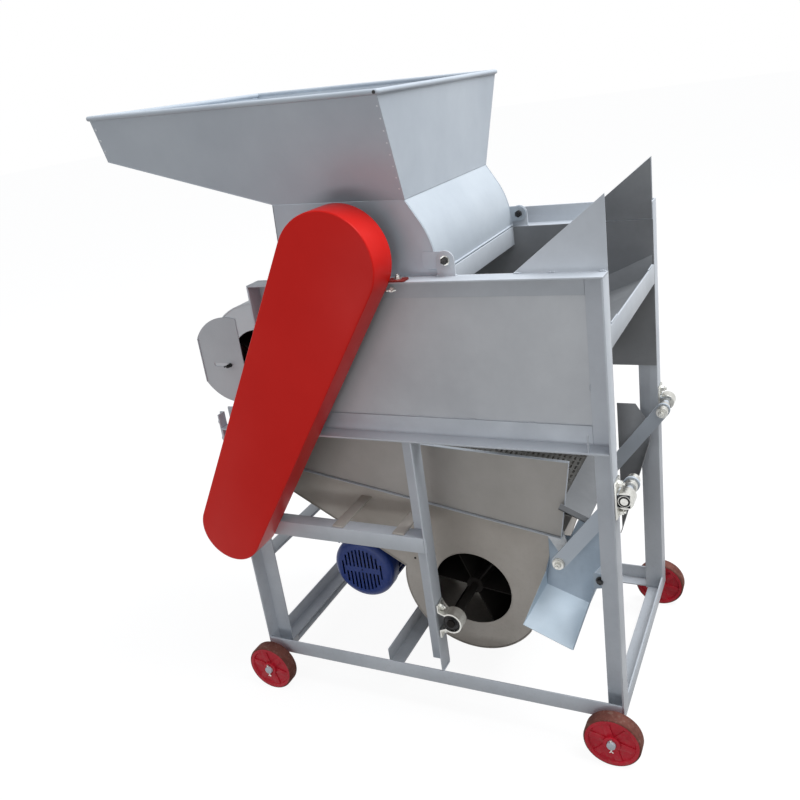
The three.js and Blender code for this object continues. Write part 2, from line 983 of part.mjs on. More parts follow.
// Flat blades on a hub tube along Y
function bladeWheel(x, z, tip, count, y0, y1) {
  const blades = Array.from({ length: count }, (_, i) =>
    box(0, tip, y0, y1, -bladeThick / 2, bladeThick / 2)
      .rotate([0, (360 * i) / count, 0])
      .translate([x, 0, z]),
  );
  return join(...blades, rod(x, z, hubTube, y0, y1));
}

function upperFan() {
  const y0 = upperBackset + fanTipGap;
  const y1 = frameWidth - y0;
  const shaftTo = rearBeltY + beltWide + shaftEnd;
  return join(
    bladeWheel(upperX, upperZ, upperRadius - fanTipGap, upperBladeCount, y0, y1),
    rod(upperX, upperZ, upperShaft, upperBackset - shaftEnd, shaftTo),
    pulley(upperX, upperZ, upperPulley, rearBeltY),
  );
}
add("upper_fan", upperFan(), "steel");

function airShutter() {
  const y1 = upperBackset - seam;
  const y0 = y1 - sheet;
  const plate = rod(shutterX, shutterZ, shutterRadius, y0, y1, 2 * roundSides).intersect(
    box(
      shutterX - shutterLeft,
      shutterX + shutterRight,
      y0 - overrun,
      y1 + overrun,
      shutterZ - shutterRadius,
      shutterZ + shutterRadius,
    ),
  );
  const foldHalf = Math.sqrt(shutterRadius ** 2 - shutterLeft ** 2) - sheet;
  const left = shutterX - shutterLeft;
  const fold = box(
    left,
    left + sheet,
    y0 - shutterFold,
    y1,
    shutterZ - foldHalf,
    shutterZ + foldHalf,
  );
  const half = studRadius + runGap;
  const slot = join(
    box(studX - shutterTravel, studX, y0 - overrun, y1 + overrun, studZ - half, studZ + half),
    rod(studX, studZ, half, y0 - overrun, y1 + overrun, finePartSides),
    rod(studX - shutterTravel, studZ, half, y0 - overrun, y1 + overrun, finePartSides),
  );
  return join(plate, fold).subtract(slot);
}
add("air_shutter", airShutter(), "frame");

// Lower fan: scroll case whose trunk leads up under the sieve

const seamSlope = (seamRightZ - seamLeftZ) / (seamRightX - seamLeftX);
const seamZAt = (x) => seamLeftZ + seamSlope * (x - seamLeftX);

function trunkOutline(inset, over) {
  const steps = finePartSides;
  const start = Math.PI - Math.asin((slopeEndZ - lowerZ) / scrollLeft);
  const end = 2 * Math.PI - scrollLift;
  const scroll = Array.from({ length: steps + 1 }, (_, i) => {
    const share = i / steps;
    const turn = start + (end - start) * share;
    const radius = scrollLeft + (scrollRight - scrollLeft) * share - inset;
    return [lowerX + radius * Math.cos(turn), lowerZ + radius * Math.sin(turn)];
  });
  return [
    [trunkLeftX + inset, seamZAt(trunkLeftX) - sieveGap + over],
    [trunkLeftX + inset, trunkLeftZ + inset],
    [slopeTopX, slopeTopZ + inset],
    ...scroll,
    [trunkRightX - inset, trunkRightZ],
    [trunkRightX - inset, seamZAt(trunkRightX) - sieveGap + over],
  ];
}

const slope = new THREE.Vector2(slopeEndX - slopeTopX, slopeEndZ - slopeTopZ);
const slopeAngle = Math.atan2(slope.y, slope.x);
const slopeTurn = (-slopeAngle * 180) / Math.PI;

// Turns a solid built about the origin so its +X runs down the slope, and moves it to a point.
const ontoSlope = (solid, x, z) => solid.rotate([0, slopeTurn, 0]).translate([x, 0, z]);

// Where the motor's axis meets the slope at a right angle.
function motorFootPoint() {
  const along = slope.clone().normalize();
  const toMotor = new THREE.Vector2(motorX - slopeTopX, motorZ - slopeTopZ);
  const foot = along.multiplyScalar(toMotor.dot(along));
  return [slopeTopX + foot.x, slopeTopZ + foot.y];
}

function lowerCase() {
  const shell = prism("y", trunkOutline(0, 0), trunkFrontY, trunkRearY).subtract(
    prism("y", trunkOutline(sheet, overrun), trunkFrontY + sheet, trunkRearY - sheet),
  );
  const eye = rod(lowerX, lowerZ, lowerEye, trunkFrontY - overrun, trunkRearY + overrun);
  const bearers = bearerShares.map((share) => {
    const x = trunkLeftX + (trunkRightX - trunkLeftX) * share;
    const low = motorRailZ + seam;
    return box(x, x + bearerWide, legWall, frameWidth - legWall, low, low + bearerThick);
  });
  const plate = ontoSlope(
    box(
      -motorPlateLong / 2,
      motorPlateLong / 2,
      trunkFrontY + motorPlateMargin,
      trunkRearY - motorPlateMargin,
      -motorPlateThick,
      sheet / 2,
    ),
    ...motorFootPoint(),
  );
  return join(shell.subtract(eye), ...bearers, plate);
}
add("lower_fan_case", lowerCase(), "sheet");

function lowerFan() {
  const y0 = trunkFrontY + fanTipGap;
  const y1 = trunkRearY - fanTipGap;
  return join(
    bladeWheel(lowerX, lowerZ, lowerBladeTip, lowerBladeCount, y0, y1),
    rod(lowerX, lowerZ, lowerShaft, overrun, rearBeltY + beltWide + shaftEnd),
    pulley(lowerX, lowerZ, fanOuterPulley, rearBeltY),
    pulley(lowerX, lowerZ, fanInnerPulley, motorBeltY),
  );
}
add("lower_fan", lowerFan(), "steel");

// A stamped bearing bolted to the inner post's face
function postBearing(side) {
  const [y0, y1] = spanY(side, bearingFrontY, bearingBackY);
  const face = -midPostX + seam;
  const plate = box(
    face,
    face + postBearingPlate,
    y0,
    y1,
    lowerZ - postBearingHalf,
    lowerZ + postBearingHalf,
  );
  const neck = box(
    face,
    lowerX,
    y0,
    y1,
    lowerZ - postBearingHousing,
    lowerZ + postBearingHousing,
  );
  const ring = rod(lowerX, lowerZ, postBearingHousing, y0, y1);
  const cut = rod(lowerX, lowerZ, lowerShaft + seam, y0 - overrun, y1 + overrun);
  return join(plate, neck, ring).subtract(cut);
}
for (const side of sides) add("fan_bearing_" + side.name, postBearing(side), "zinc");

// Motor hung by its feet from the plate on the slope

function motor() {
  const y0 = motorFrontY;
  const y1 = y0 + fanCoverLong;
  const y2 = y1 + motorBodyLong;
  const y3 = y2 + motorEndLong;
  const cover = rod(0, 0, fanCoverRadius, y0, y1, 2 * roundSides);
  const bowl = rod(0, 0, fanCoverRadius * grilleShare, y0 - overrun, y0 + sheet * 2);
  const face = rod(0, 0, fanCoverRadius * grilleHubShare, y0, y0 + sheet * 2);
  const body = rod(0, 0, motorBodyRadius, y1 - sheet, y2, 2 * roundSides);
  const fins = Array.from({ length: finCount }, (_, i) =>
    box(0, motorBodyRadius + finRise, y1 - sheet, y2 - finRise, -finThick / 2, finThick / 2).rotate([
      0,
      (360 * (i + 0.5)) / finCount,
      0,
    ]),
  );
  const end = rod(0, 0, motorEndRadius, y2 - sheet, y3);
  const footY = (y1 + y2 - footLong) / 2;
  const foot = box(
    -footWide / 2,
    footWide / 2,
    footY,
    footY + footLong,
    footHeight - footThick,
    footHeight,
  );
  const webs = [-1, 1].map((way) => {
    const x = way * (footWide / 2 - footThick);
    return box(x - footThick / 2, x + footThick / 2, footY, footY + footLong, 0, footHeight - sheet);
  });
  const terminal = box(
    -motorBodyRadius - finRise - terminalRise,
    0,
    footY,
    footY + terminalLong,
    -terminalWide / 2,
    terminalWide / 2,
  );
  const bore = rod(0, 0, motorShaft + seam, y2 - overrun, y3 + overrun);
  const whole = join(cover.subtract(bowl), face, body, ...fins, end, foot, ...webs, terminal);
  return ontoSlope(whole.subtract(bore), motorX, motorZ);
}
add("motor", motor(), "blue");

function motorSpindle() {
  const from = motorFrontY + fanCoverLong + motorBodyLong;
  return join(
    rod(motorX, motorZ, motorShaft, from - overrun / 2, motorBeltY + beltWide),
    pulley(motorX, motorZ, motorPulley, motorBeltY),
  );
}
add("motor_pulley", motorSpindle(), "steel");

// Sieve box with its screen, seed trough and the pins that the rockers and the rod hold

const sieveDrop = seamLeftZ - seamRightZ;

function sieveSide() {
  return [
    [sieveLeftX, seamZAt(sieveLeftX)],
    [seamRightX, seamRightZ],
    [sieveTopRightX, sieveTopRightZ],
    [sieveTopMidX, sieveTopMidZ],
    [sieveLeftX, sieveTopLeftZ],
  ];
}

function slopedSheet(x0, x1, rise, y0, y1) {
  const outline = [
    [x0, seamZAt(x0) + rise],
    [x1, seamZAt(x1) + rise],
    [x1, seamZAt(x1) + rise + sheet],
    [x0, seamZAt(x0) + rise + sheet],
  ];
  return prism("y", outline, y0, y1);
}

function screen() {
  const plate = slopedSheet(sieveLeftX, sieveTopRightX, screenRise, sieveFrontY, sieveRearY);
  const long = (sieveTopRightX - sieveLeftX - screenRib) / screenColumns;
  const wide = (sieveRearY - sieveFrontY - screenRib) / screenRows;
  const holes = [];
  for (let column = 0; column < screenColumns; column += 1)
    for (let row = 0; row < screenRows; row += 1) {
      const x = sieveLeftX + screenRib + column * long;
      const y = sieveFrontY + screenRib + row * wide;
      const z = seamZAt(x) + screenRise;
      holes.push(box(x, x + long - screenRib, y, y + wide - screenRib, z - sieveDrop, z + sieveDrop));
    }
  return plate.subtract(join(...holes));
}

function trough() {
  const along = new THREE.Vector2(troughRightX - troughLeftX, troughRightZ - troughLeftZ);
  const up = new THREE.Vector2(-along.y, along.x).normalize().multiplyScalar(troughLip);
  const outline = [
    [troughLeftX, troughLeftZ],
    [troughRightX, troughRightZ],
    [troughRightX, troughRightZ + sheet],
    [troughLeftX, troughLeftZ + sheet],
  ];
  const wall = [
    [troughLeftX, troughLeftZ],
    [troughRightX, troughRightZ],
    [troughRightX + up.x, troughRightZ + up.y],
    [troughLeftX + up.x, troughLeftZ + up.y],
  ];
  return join(
    prism("y", outline, troughFrontY, sieveRearY),
    prism("y", wall, troughFrontY, troughFrontY + sheet),
  );
}

// A hanger plate from the sieve's side to a rocker's lower pin
function pivotPlate(side, x, z, rootX, rootZ) {
  const [y0, y1] = spanY(side, sieveFrontY - legWall, sieveFrontY + sheet);
  const [p0, p1] = spanY(side, bushFrontY, sieveFrontY);
  const eye = [x, z, rockerTube];
  const root = [rootX, rootZ, hubTube];
  return join(
    prism("y", wrap([eye, root], 0, finePartSides), y0, y1),
    rod(x, z, rockerPin, p0, p1),
  );
}

function sieveBox() {
  const cheeks = sides.map((side) => {
    const [y0, y1] = spanY(side, sieveFrontY, sieveFrontY + sheet);
    return prism("y", sieveSide(), y0, y1);
  });
  const floor = slopedSheet(sieveLeftX, seamRightX, 0, sieveFrontY, sieveRearY);
  const back = box(
    sieveLeftX,
    sieveLeftX + sheet,
    sieveFrontY,
    sieveRearY,
    seamZAt(sieveLeftX),
    sieveTopLeftZ,
  );
  const rightEye = [pivotX + rockerRunX, pivotZ + rockerDropZ];
  const leftEye = [rockerLeftX + rockerRunX, rockerLeftZ + rockerDropZ];
  const plates = sides.flatMap((side) => [
    pivotPlate(side, ...rightEye, seamRightX - hubTube, seamRightZ + hubTube),
    pivotPlate(side, ...leftEye, sieveLeftX + hubTube, seamLeftZ + hubTube),
  ]);
  const pin = rod(rodPinX, rodPinZ, rodPin, crankFrontY - overrun, sieveFrontY + sheet);
  return join(...cheeks, floor, back, screen(), trough(), ...plates, pin);
}
add("sieve_box", sieveBox(), "sheet");

function rocker(side, x, z) {
  const lowX = x + rockerRunX;
  const lowZ = z + rockerDropZ;
  const [y0, y1] = spanY(side, rockerY - rockerThick / 2, rockerY + rockerThick / 2);
  const [t0, t1] = spanY(side, tubeFrontY, tubeBackY);
  const [b0, b1] = spanY(side, bushFrontY + seam, bushBackY);
  const half = rockerWide / 2;
  const arm = prism("y", wrap([[x, z, half], [lowX, lowZ, half]], 0, finePartSides), y0, y1);
  const tubes = join(
    rod(x, z, rockerTube, t0, t1),
    rod(lowX, lowZ, rockerTube, b0, b1),
  );
  const bores = join(
    rod(x, z, rockerPin + seam, 0, frameWidth),
    rod(lowX, lowZ, rockerPin + runGap, 0, frameWidth),
  );
  return join(arm, tubes).subtract(bores);
}
for (const side of sides) {
  add("rocker_" + side.name + "_right", rocker(side, pivotX, pivotZ), "zinc");
  add("rocker_" + side.name + "_left", rocker(side, rockerLeftX, rockerLeftZ), "zinc");
}

// Crank shaft behind the front guard, its bearing and the rod to the sieve

function crankShaftSolid() {
  return join(
    rod(crankX, crankZ, crankShaft, frontBeltY - beltWide - shaftEnd, crankBackY + overrun),
    rod(crankX + crankThrow, crankZ, crankDisc, crankFrontY, crankBackY),
    pulley(crankX, crankZ, crankPulley, frontBeltY),
  );
}
add("crank_shaft", crankShaftSolid(), "steel");

add(
  "crank_bearing",
  pillow(
    crankX,
    crankZ,
    motorRailZ + seam,
    crankPillowHalf,
    postBearingHousing,
    crankShaft,
    [bearingFrontY, bearingBackY],
  ),
  "casting",
);

function sieveRod() {
  const inner = crankDisc + 2 * crankThrow + runGap;
  const outer = inner + strapWall;
  const y0 = crankFrontY + sheet / 2;
  const y1 = crankBackY - sheet / 2;
  const eye = rodWide / 2 + legWall;
  const bar = prism(
    "y",
    wrap([[crankX, crankZ, rodWide / 2], [rodPinX, rodPinZ, rodWide / 2]], 0, finePartSides),
    y0,
    y1,
  );
  const rounds = join(rod(crankX, crankZ, outer, y0, y1), rod(rodPinX, rodPinZ, eye, y0, y1));
  const bores = join(
    rod(crankX, crankZ, inner, y0 - overrun, y1 + overrun),
    rod(rodPinX, rodPinZ, rodPin + seam, y0 - overrun, y1 + overrun),
  );
  return join(bar, rounds).subtract(bores);
}
add("sieve_rod", sieveRod(), "zinc");

// Belts, each a closed loop in its pulleys' grooves

// A faceted pulley's corners turn clear of the middles of the belt's flats.
function belt(circles, y) {
  const flatShare = Math.cos(Math.PI / pulleySides);
  const seats = circles.map(([x, z, radius]) => [x, z, (radius - grooveDeep) / flatShare]);
  const inside = wrap(seats, seam);
  const outside = wrap(seats, seam + beltDeep);
  const half = beltWide / 2;
  return prism("y", outside, y - half, y + half).subtract(
    prism("y", inside, y - half - overrun, y + half + overrun),
  );
}

const frontRound = [
  [rotorX, rotorZ, rotorFrontPulley],
  [crankX, crankZ, crankPulley],
];
const rearRound = [
  [rotorX, rotorZ, rotorRearPulley],
  [lowerX, lowerZ, fanOuterPulley],
  [upperX, upperZ, upperPulley],
];
const motorRound = [
  [motorX, motorZ, motorPulley],
  [lowerX, lowerZ, fanInnerPulley],
];
add("belt_front", belt(frontRound, frontBeltY), "rubber");
add("belt_rear", belt(rearRound, rearBeltY), "rubber");
add("belt_motor", belt(motorRound, motorBeltY), "rubber");

// Belt guards: deep trays, open towards the frame

function guardTray(circles, y0, y1, faceFirst) {
  const outer = prism("y", wrap(circles, 0), y0, y1);
  const inner = prism(
    "y",
    wrap(circles, -guardSheet),
    faceFirst ? y0 + guardSheet : y0 - overrun,
    faceFirst ? y1 + overrun : y1 - guardSheet,
  );
  return outer.subtract(inner);
}

function frontGuard() {
  const circles = [
    [guardTopX, guardTopZ, guardTopRadius],
    [guardLowX, guardLowZ, guardLowRadius],
  ];
  const tray = guardTray(circles, -guardDeep, -seam, true);
  const tab = box(
    guardTabX - guardTabWide,
    guardTabX,
    -overrun,
    guardTabLong,
    topZ + seam,
    topZ + seam + guardTabThick,
  );
  return join(tray, tab);
}
add("belt_guard_front", frontGuard(), "red");

function rearGuard() {
  const circles = rearRound.map(([x, z, radius]) => [x, z, radius + rearGuardMargin]);
  return guardTray(circles, frameWidth + seam, frameWidth + rearGuardDeep, false);
}
add("belt_guard_rear", rearGuard(), "red");

// Kernel chute, folded from one sheet, with a tab bolted to the right leg

function plateThrough(points, thick) {
  return hullOf(points.flatMap(([x, y, z]) => [[x, y, z], [x, y, z - thick]]));
}

function kernelChute() {
  const floor = plateThrough(
    [
      [chuteFrontLeftX, 0, chuteFrontLeftZ],
      [chuteFrontRightX, 0, chuteFrontRightZ],
      [chuteFoldLeftX, chuteFoldY, chuteFoldLeftZ],
      [chuteFoldRightX, chuteFoldY, chuteFoldRightZ],
    ],
    sheet,
  );
  const back = plateThrough(
    [
      [chuteFoldLeftX, chuteFoldY, chuteFoldLeftZ],
      [chuteFoldRightX, chuteFoldY, chuteFoldRightZ],
      [chuteFoldLeftX, chuteBackY, chuteFoldLeftZ + chuteBackRise],
      [chuteFoldRightX, chuteBackY, chuteFoldRightZ + chuteBackRise],
    ],
    sheet,
  );
  const leftWall = plateThrough(
    [
      [chuteFrontLeftX, 0, chuteFrontLeftZ],
      [chuteFrontLeftX + sheet, 0, chuteFrontLeftZ],
      [chuteFoldLeftX, chuteFoldY, chuteFoldLeftZ + chuteWallLeft],
      [chuteFoldLeftX + sheet, chuteFoldY, chuteFoldLeftZ + chuteWallLeft],
      [chuteFoldLeftX, chuteFoldY, chuteFoldLeftZ],
      [chuteFoldLeftX + sheet, chuteFoldY, chuteFoldLeftZ],
    ],
    sheet,
  );
  const rightWall = plateThrough(
    [
      [chuteFrontRightX, 0, chuteFrontRightZ],
      [chuteFrontRightX - sheet, 0, chuteFrontRightZ],
      [chuteWallRightX, chuteFoldY, chuteWallRightZ],
      [chuteWallRightX - sheet, chuteFoldY, chuteWallRightZ],
      [chuteFoldRightX, chuteFoldY, chuteFoldRightZ],
      [chuteFoldRightX - sheet, chuteFoldY, chuteFoldRightZ],
    ],
    sheet,
  );
  const tabY = frontY + seam;
  const tab = prism(
    "y",
    [
      [chuteFoldRightX - sheet, chuteFoldRightZ - chuteWallLeft / 2],
      [chuteTabX + chuteTabHalf, chuteTabTopZ - chuteTabHalf * 2],
      [chuteTabX + chuteTabHalf, chuteTabTopZ],
      [chuteTabX - chuteTabHalf, chuteTabTopZ],
      [chuteFoldRightX - sheet, chuteFoldRightZ],
    ],
    tabY,
    tabY + sheet,
  );
  return join(floor, back, leftWall, rightWall, tab);
}
add("kernel_chute", kernelChute(), "sheet");

// Rear shield beside the sieve's outlet, held off the rear leg by two spacers

function rearShield() {
  const foot = [shieldTopLeftX, shieldFootZ];
  const low = [shieldShoulderX, shieldLowShoulderZ];
  const plate = prism(
    "y",
    [
      [shieldTopLeftX, shieldTopLeftZ],
      [shieldTopRightX, shieldTopLeftZ],
      [shieldShoulderX, shieldShoulderZ],
      low,
      foot,
    ],
    shieldY,
    shieldY + sheet,
  );
  const flange = hullOf(
    [low, foot].flatMap(([x, z]) => [
      [x, shieldY - shieldFlange, z],
      [x, shieldY + sheet, z],
      [x - sheet, shieldY - shieldFlange, z],
      [x - sheet, shieldY + sheet, z],
    ]),
  );
  const spacer = box(
    shieldShoulderX - legSize / 2,
    shieldShoulderX - sheet,
    shieldY,
    rearY - seam,
    shieldLowShoulderZ,
    shieldLowShoulderZ + shieldTabTall,
  );
  return join(plate, flange, spacer);
}
add("rear_shield", rearShield(), "sheet");

// Stand the machine on its wheels with the middle of its outline over the origin
const box3 = new THREE.Box3().setFromObject(group);
group.position.set(
  -(box3.min.x + box3.max.x) / 2,
  -(box3.min.y + box3.max.y) / 2,
  axleDrop + wheelRadius,
);

export default group;
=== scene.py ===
import math

import bmesh
import bpy
from mathutils import Matrix, Vector


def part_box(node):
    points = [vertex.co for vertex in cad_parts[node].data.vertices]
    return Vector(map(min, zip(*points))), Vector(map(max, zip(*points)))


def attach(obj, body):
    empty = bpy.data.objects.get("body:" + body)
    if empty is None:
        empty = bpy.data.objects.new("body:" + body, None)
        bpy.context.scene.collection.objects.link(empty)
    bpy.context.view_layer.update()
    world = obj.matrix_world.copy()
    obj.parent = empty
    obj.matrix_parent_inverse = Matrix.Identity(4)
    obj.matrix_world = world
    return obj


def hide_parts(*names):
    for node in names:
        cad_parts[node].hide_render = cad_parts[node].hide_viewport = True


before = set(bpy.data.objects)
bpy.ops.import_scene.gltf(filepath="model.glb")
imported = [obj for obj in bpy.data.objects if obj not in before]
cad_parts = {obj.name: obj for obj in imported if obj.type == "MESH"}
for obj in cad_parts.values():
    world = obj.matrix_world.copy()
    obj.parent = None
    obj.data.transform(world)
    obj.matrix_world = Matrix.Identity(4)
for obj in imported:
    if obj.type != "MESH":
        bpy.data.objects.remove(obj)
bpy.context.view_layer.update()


# The photographer's place: a little above the hopper's height, off the machine's right front corner.
# Lengths in this script are millimetres from that corner's foot, and at() turns them to metres.
corner = Vector((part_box("base_right")[1].x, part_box("base_front")[0].y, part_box("base_front")[0].z))


def at(x, y, z):
    return corner + Vector((x, y, z)) / 1000


camera_place = at(349.1, -1484.6, 1406.6)
camera_yaw = math.radians(28.282)
camera_pitch = math.radians(20.892)
camera_roll = math.radians(-8.314)
lens_mm = 37.54
sensor_mm = 36.0

forward = Vector((
    -math.sin(camera_yaw) * math.cos(camera_pitch),
    math.cos(camera_yaw) * math.cos(camera_pitch),
    -math.sin(camera_pitch),
))
level = Vector((math.cos(camera_yaw), math.sin(camera_yaw), 0))
down = forward.cross(level)
sideways = math.cos(camera_roll) * level - math.sin(camera_roll) * down
upright = -(math.sin(camera_roll) * level + math.cos(camera_roll) * down)
camera_data = bpy.data.cameras.new("camera")
camera_data.lens = lens_mm
camera_data.sensor_width = sensor_mm
camera_data.clip_end = 60
camera = bpy.data.objects.new("camera", camera_data)
turned = Matrix((sideways, upright, -forward)).transposed().to_4x4()
camera.matrix_world = Matrix.Translation(camera_place) @ turned
bpy.context.scene.collection.objects.link(camera)
bpy.context.scene.camera = camera
bpy.context.scene.view_settings.view_transform = "Standard"


# The yard's daylight as a studio: a broad cool lamp high on the right, a low one in front, a soft sky and a
# pale floor. Camera, gloss and glass see the surround as plain white, and the floor keeps the shadow.
sky_light = 0.5
floor_glow = 1.07
glow_part = 0.86
floor_half = 30.0
cool_white = (0.94, 0.97, 1.0)


def add_node(tree, kind, settings=None, values=None, links=None):
    made = tree.nodes.new(kind)
    for key, value in (settings or {}).items():
        setattr(made, key, value)
    for socket, value in (values or {}).items():
        made.inputs[socket].default_value = value
    for socket, source in (links or {}).items():
        tree.links.new(source, made.inputs[socket])
    return made


def linear(hex_colour):
    channels = [int(hex_colour[i:i + 2], 16) / 255 for i in (1, 3, 5)]
    return [c / 12.92 if c <= 0.04045 else ((c + 0.055) / 1.055) ** 2.4 for c in channels] + [1.0]


def seen_directly(tree):
    rays = add_node(tree, "ShaderNodeLightPath")
    gloss = add_node(tree, "ShaderNodeMath", {"operation": "MAXIMUM"},
                     links={0: rays.outputs["Is Camera Ray"], 1: rays.outputs["Is Glossy Ray"]})
    return add_node(tree, "ShaderNodeMath", {"operation": "MAXIMUM"},
                    links={0: gloss.outputs[0], 1: rays.outputs["Is Transmission Ray"]}).outputs[0]


surround = bpy.data.worlds.new("white_studio")
surround.use_nodes = True
surround.node_tree.nodes.clear()
soft_white = add_node(surround.node_tree, "ShaderNodeBackground",
                      values={"Color": linear("#f2f6fc"), "Strength": sky_light})
plain_white = add_node(surround.node_tree, "ShaderNodeBackground",
                       values={"Color": (1, 1, 1, 1), "Strength": 1.0})
chosen = add_node(surround.node_tree, "ShaderNodeMixShader",
                  links={0: seen_directly(surround.node_tree), 1: soft_white.outputs[0],
                         2: plain_white.outputs[0]})
add_node(surround.node_tree, "ShaderNodeOutputWorld", links={"Surface": chosen.outputs[0]})
bpy.context.scene.world = surround

floor_paint = bpy.data.materials.new("pale_floor_paint")
floor_paint.use_nodes = True
floor_tree = floor_paint.node_tree
floor_tree.nodes.clear()
floor_seen = seen_directly(floor_tree)
floor_colour = add_node(floor_tree, "ShaderNodeMix", {"data_type": "RGBA"},
                        {"A": linear("#7c766f"), "B": linear("#ffffff")}, {"Factor": floor_seen})
matt = add_node(floor_tree, "ShaderNodeBsdfDiffuse", links={"Color": floor_colour.outputs["Result"]})
glow = add_node(floor_tree, "ShaderNodeEmission", values={"Color": (1, 1, 1, 1), "Strength": floor_glow})
glow_share = add_node(floor_tree, "ShaderNodeMath", {"operation": "MULTIPLY"}, {1: glow_part},
                      {0: floor_seen})
blended = add_node(floor_tree, "ShaderNodeMixShader",
                   links={0: glow_share.outputs[0], 1: matt.outputs[0], 2: glow.outputs[0]})
add_node(floor_tree, "ShaderNodeOutputMaterial", links={"Surface": blended.outputs[0]})

floor_mesh = bmesh.new()
bmesh.ops.create_grid(floor_mesh, x_segments=1, y_segments=1, size=floor_half)
floor_data = bpy.data.meshes.new("floor")
floor_mesh.to_mesh(floor_data)
floor_mesh.free()
floor = bpy.data.objects.new("floor", floor_data)
bpy.context.scene.collection.objects.link(floor)
floor.data.materials.append(floor_paint)


def lamp(name, place, aim, watts, wide, high):
    """A soft rectangular lamp at a place in metres, turned to what it lights."""
    data = bpy.data.lights.new(name, "AREA")
    data.shape = "RECTANGLE"
    data.energy = watts
    data.size = wide
    data.size_y = high
    data.color = cool_white
    stand = Vector(place)
    turn = (Vector(aim) - stand).to_track_quat("-Z", "Y").to_matrix().to_4x4()
    made = bpy.data.objects.new(name, data)
    made.matrix_world = Matrix.Translation(stand) @ turn
    bpy.context.scene.collection.objects.link(made)


lamp("broad_lamp", (2.25, 0.5, 5.2), (0, 0, 0.8), 265, 3.4, 3.4)
lamp("low_fill_lamp", (-0.3, -4.5, 0.35), (0, 0, 0.55), 28, 3.0, 0.5)


# The frame: hot rolled mild steel angle, sawn and welded, then sprayed with aluminium enamel. The mill's
# soft edges stay, and the thin coat drifts in tone and keeps a fine peel and a few dusty specks.
def new_skin(name, metallic):
    """A material, its nodes, its shader, and the place in metres that its patterns follow."""
    material = bpy.data.materials.new(name)
    material.use_nodes = True
    tree = material.node_tree
    skin = tree.nodes["Principled BSDF"]
    skin.inputs["Metallic"].default_value = metallic
    return material, tree, skin, add_node(tree, "ShaderNodeTexCoord").outputs["Object"]


def finish_skin(tree, skin, coat, dirt_hex, grime, sheen, relief_height, strength, depth):
    """Lays dirt over the coat, and gives the shader its roughness and a fine relief."""
    finish = add_node(tree, "ShaderNodeMix", {"data_type": "RGBA"}, {"B": linear(dirt_hex)},
                      {"Factor": grime, "A": coat.outputs["Result"]})
    relief = add_node(tree, "ShaderNodeBump", values={"Strength": strength, "Distance": depth},
                      links={"Height": relief_height})
    tree.links.new(finish.outputs["Result"], skin.inputs["Base Color"])
    tree.links.new(sheen.outputs["Result"], skin.inputs["Roughness"])
    tree.links.new(relief.outputs["Normal"], skin.inputs["Normal"])


def sprayed_paint(name, paint_hex, shade_hex, gloss, metallic=0.08, mottle_mm=160, grain_mm=2.2,
                  dirt_hex="#8a857d", dirt=0.25, shine=0.3, peel_strength=0.12):
    """Sprayed enamel: slow drifts of shade, orange peel, and dust that gathers low down."""
    speck_mm = 9
    peel_depth = 0.0004
    material, tree, skin, place = new_skin(name, metallic)
    skin.inputs["Specular IOR Level"].default_value = shine
    drift = add_node(tree, "ShaderNodeTexNoise",
                     values={"Scale": 1000 / mottle_mm, "Detail": 5.0, "Roughness": 0.62},
                     links={"Vector": place})
    tone = add_node(tree, "ShaderNodeMapRange", values={"From Min": 0.3, "From Max": 0.72},
                    links={"Value": drift.outputs["Fac"]})
    coat = add_node(tree, "ShaderNodeMix", {"data_type": "RGBA"},
                    {"A": linear(paint_hex), "B": linear(shade_hex)},
                    {"Factor": tone.outputs["Result"]})
    specks = add_node(tree, "ShaderNodeTexNoise",
                      values={"Scale": 1000 / speck_mm, "Detail": 6.0, "Roughness": 0.7},
                      links={"Vector": place})
    height = add_node(tree, "ShaderNodeSeparateXYZ", links={"Vector": place})
    low = add_node(tree, "ShaderNodeMapRange",
                   values={"From Min": 0.0, "From Max": 0.5, "To Min": 1.0, "To Max": 0.15},
                   links={"Value": height.outputs["Z"]})
    patch = add_node(tree, "ShaderNodeMapRange",
                     values={"From Min": 0.52, "From Max": 0.78, "To Max": dirt},
                     links={"Value": specks.outputs["Fac"]})
    grime = add_node(tree, "ShaderNodeMath", {"operation": "MULTIPLY"},
                     links={0: low.outputs["Result"], 1: patch.outputs["Result"]})
    sheen = add_node(tree, "ShaderNodeMapRange",
                     values={"From Min": 0.3, "From Max": 0.7, "To Min": gloss - 0.06, "To Max": gloss + 0.1},
                     links={"Value": drift.outputs["Fac"]})
    peel = add_node(tree, "ShaderNodeTexNoise", values={"Scale": 1000 / grain_mm, "Detail": 2.0},
                    links={"Vector": place})
    finish_skin(tree, skin, coat, dirt_hex, grime.outputs[0], sheen, peel.outputs["Fac"], peel_strength,
                peel_depth)
    return material


def finish_piece(name, mesh, material, body, replaces=(), smooth_degrees=32):
    """Stores a bmesh as one piece that rides on a body."""
    data = bpy.data.meshes.new(name)
    mesh.to_mesh(data)
    mesh.free()
    for face in data.polygons:
        face.use_smooth = True
    data.set_sharp_from_angle(angle=math.radians(smooth_degrees))
    data.materials.append(material)
    piece = bpy.data.objects.new(name, data)
    bpy.context.scene.collection.objects.link(piece)
    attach(piece, body)
    if replaces:
        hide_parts(*replaces)
    return piece


def soften(mesh, radius_mm, segments=2, sharp_degrees=28):
    """Rounds a bmesh's sharp edges."""
    sharp = [edge for edge in mesh.edges
             if len(edge.link_faces) == 2 and edge.calc_face_angle() > math.radians(sharp_degrees)]
    bmesh.ops.bevel(mesh, geom=sharp, offset=radius_mm / 1000, segments=segments, profile=0.5,
                    affect="EDGES", clamp_overlap=True, material=-1)


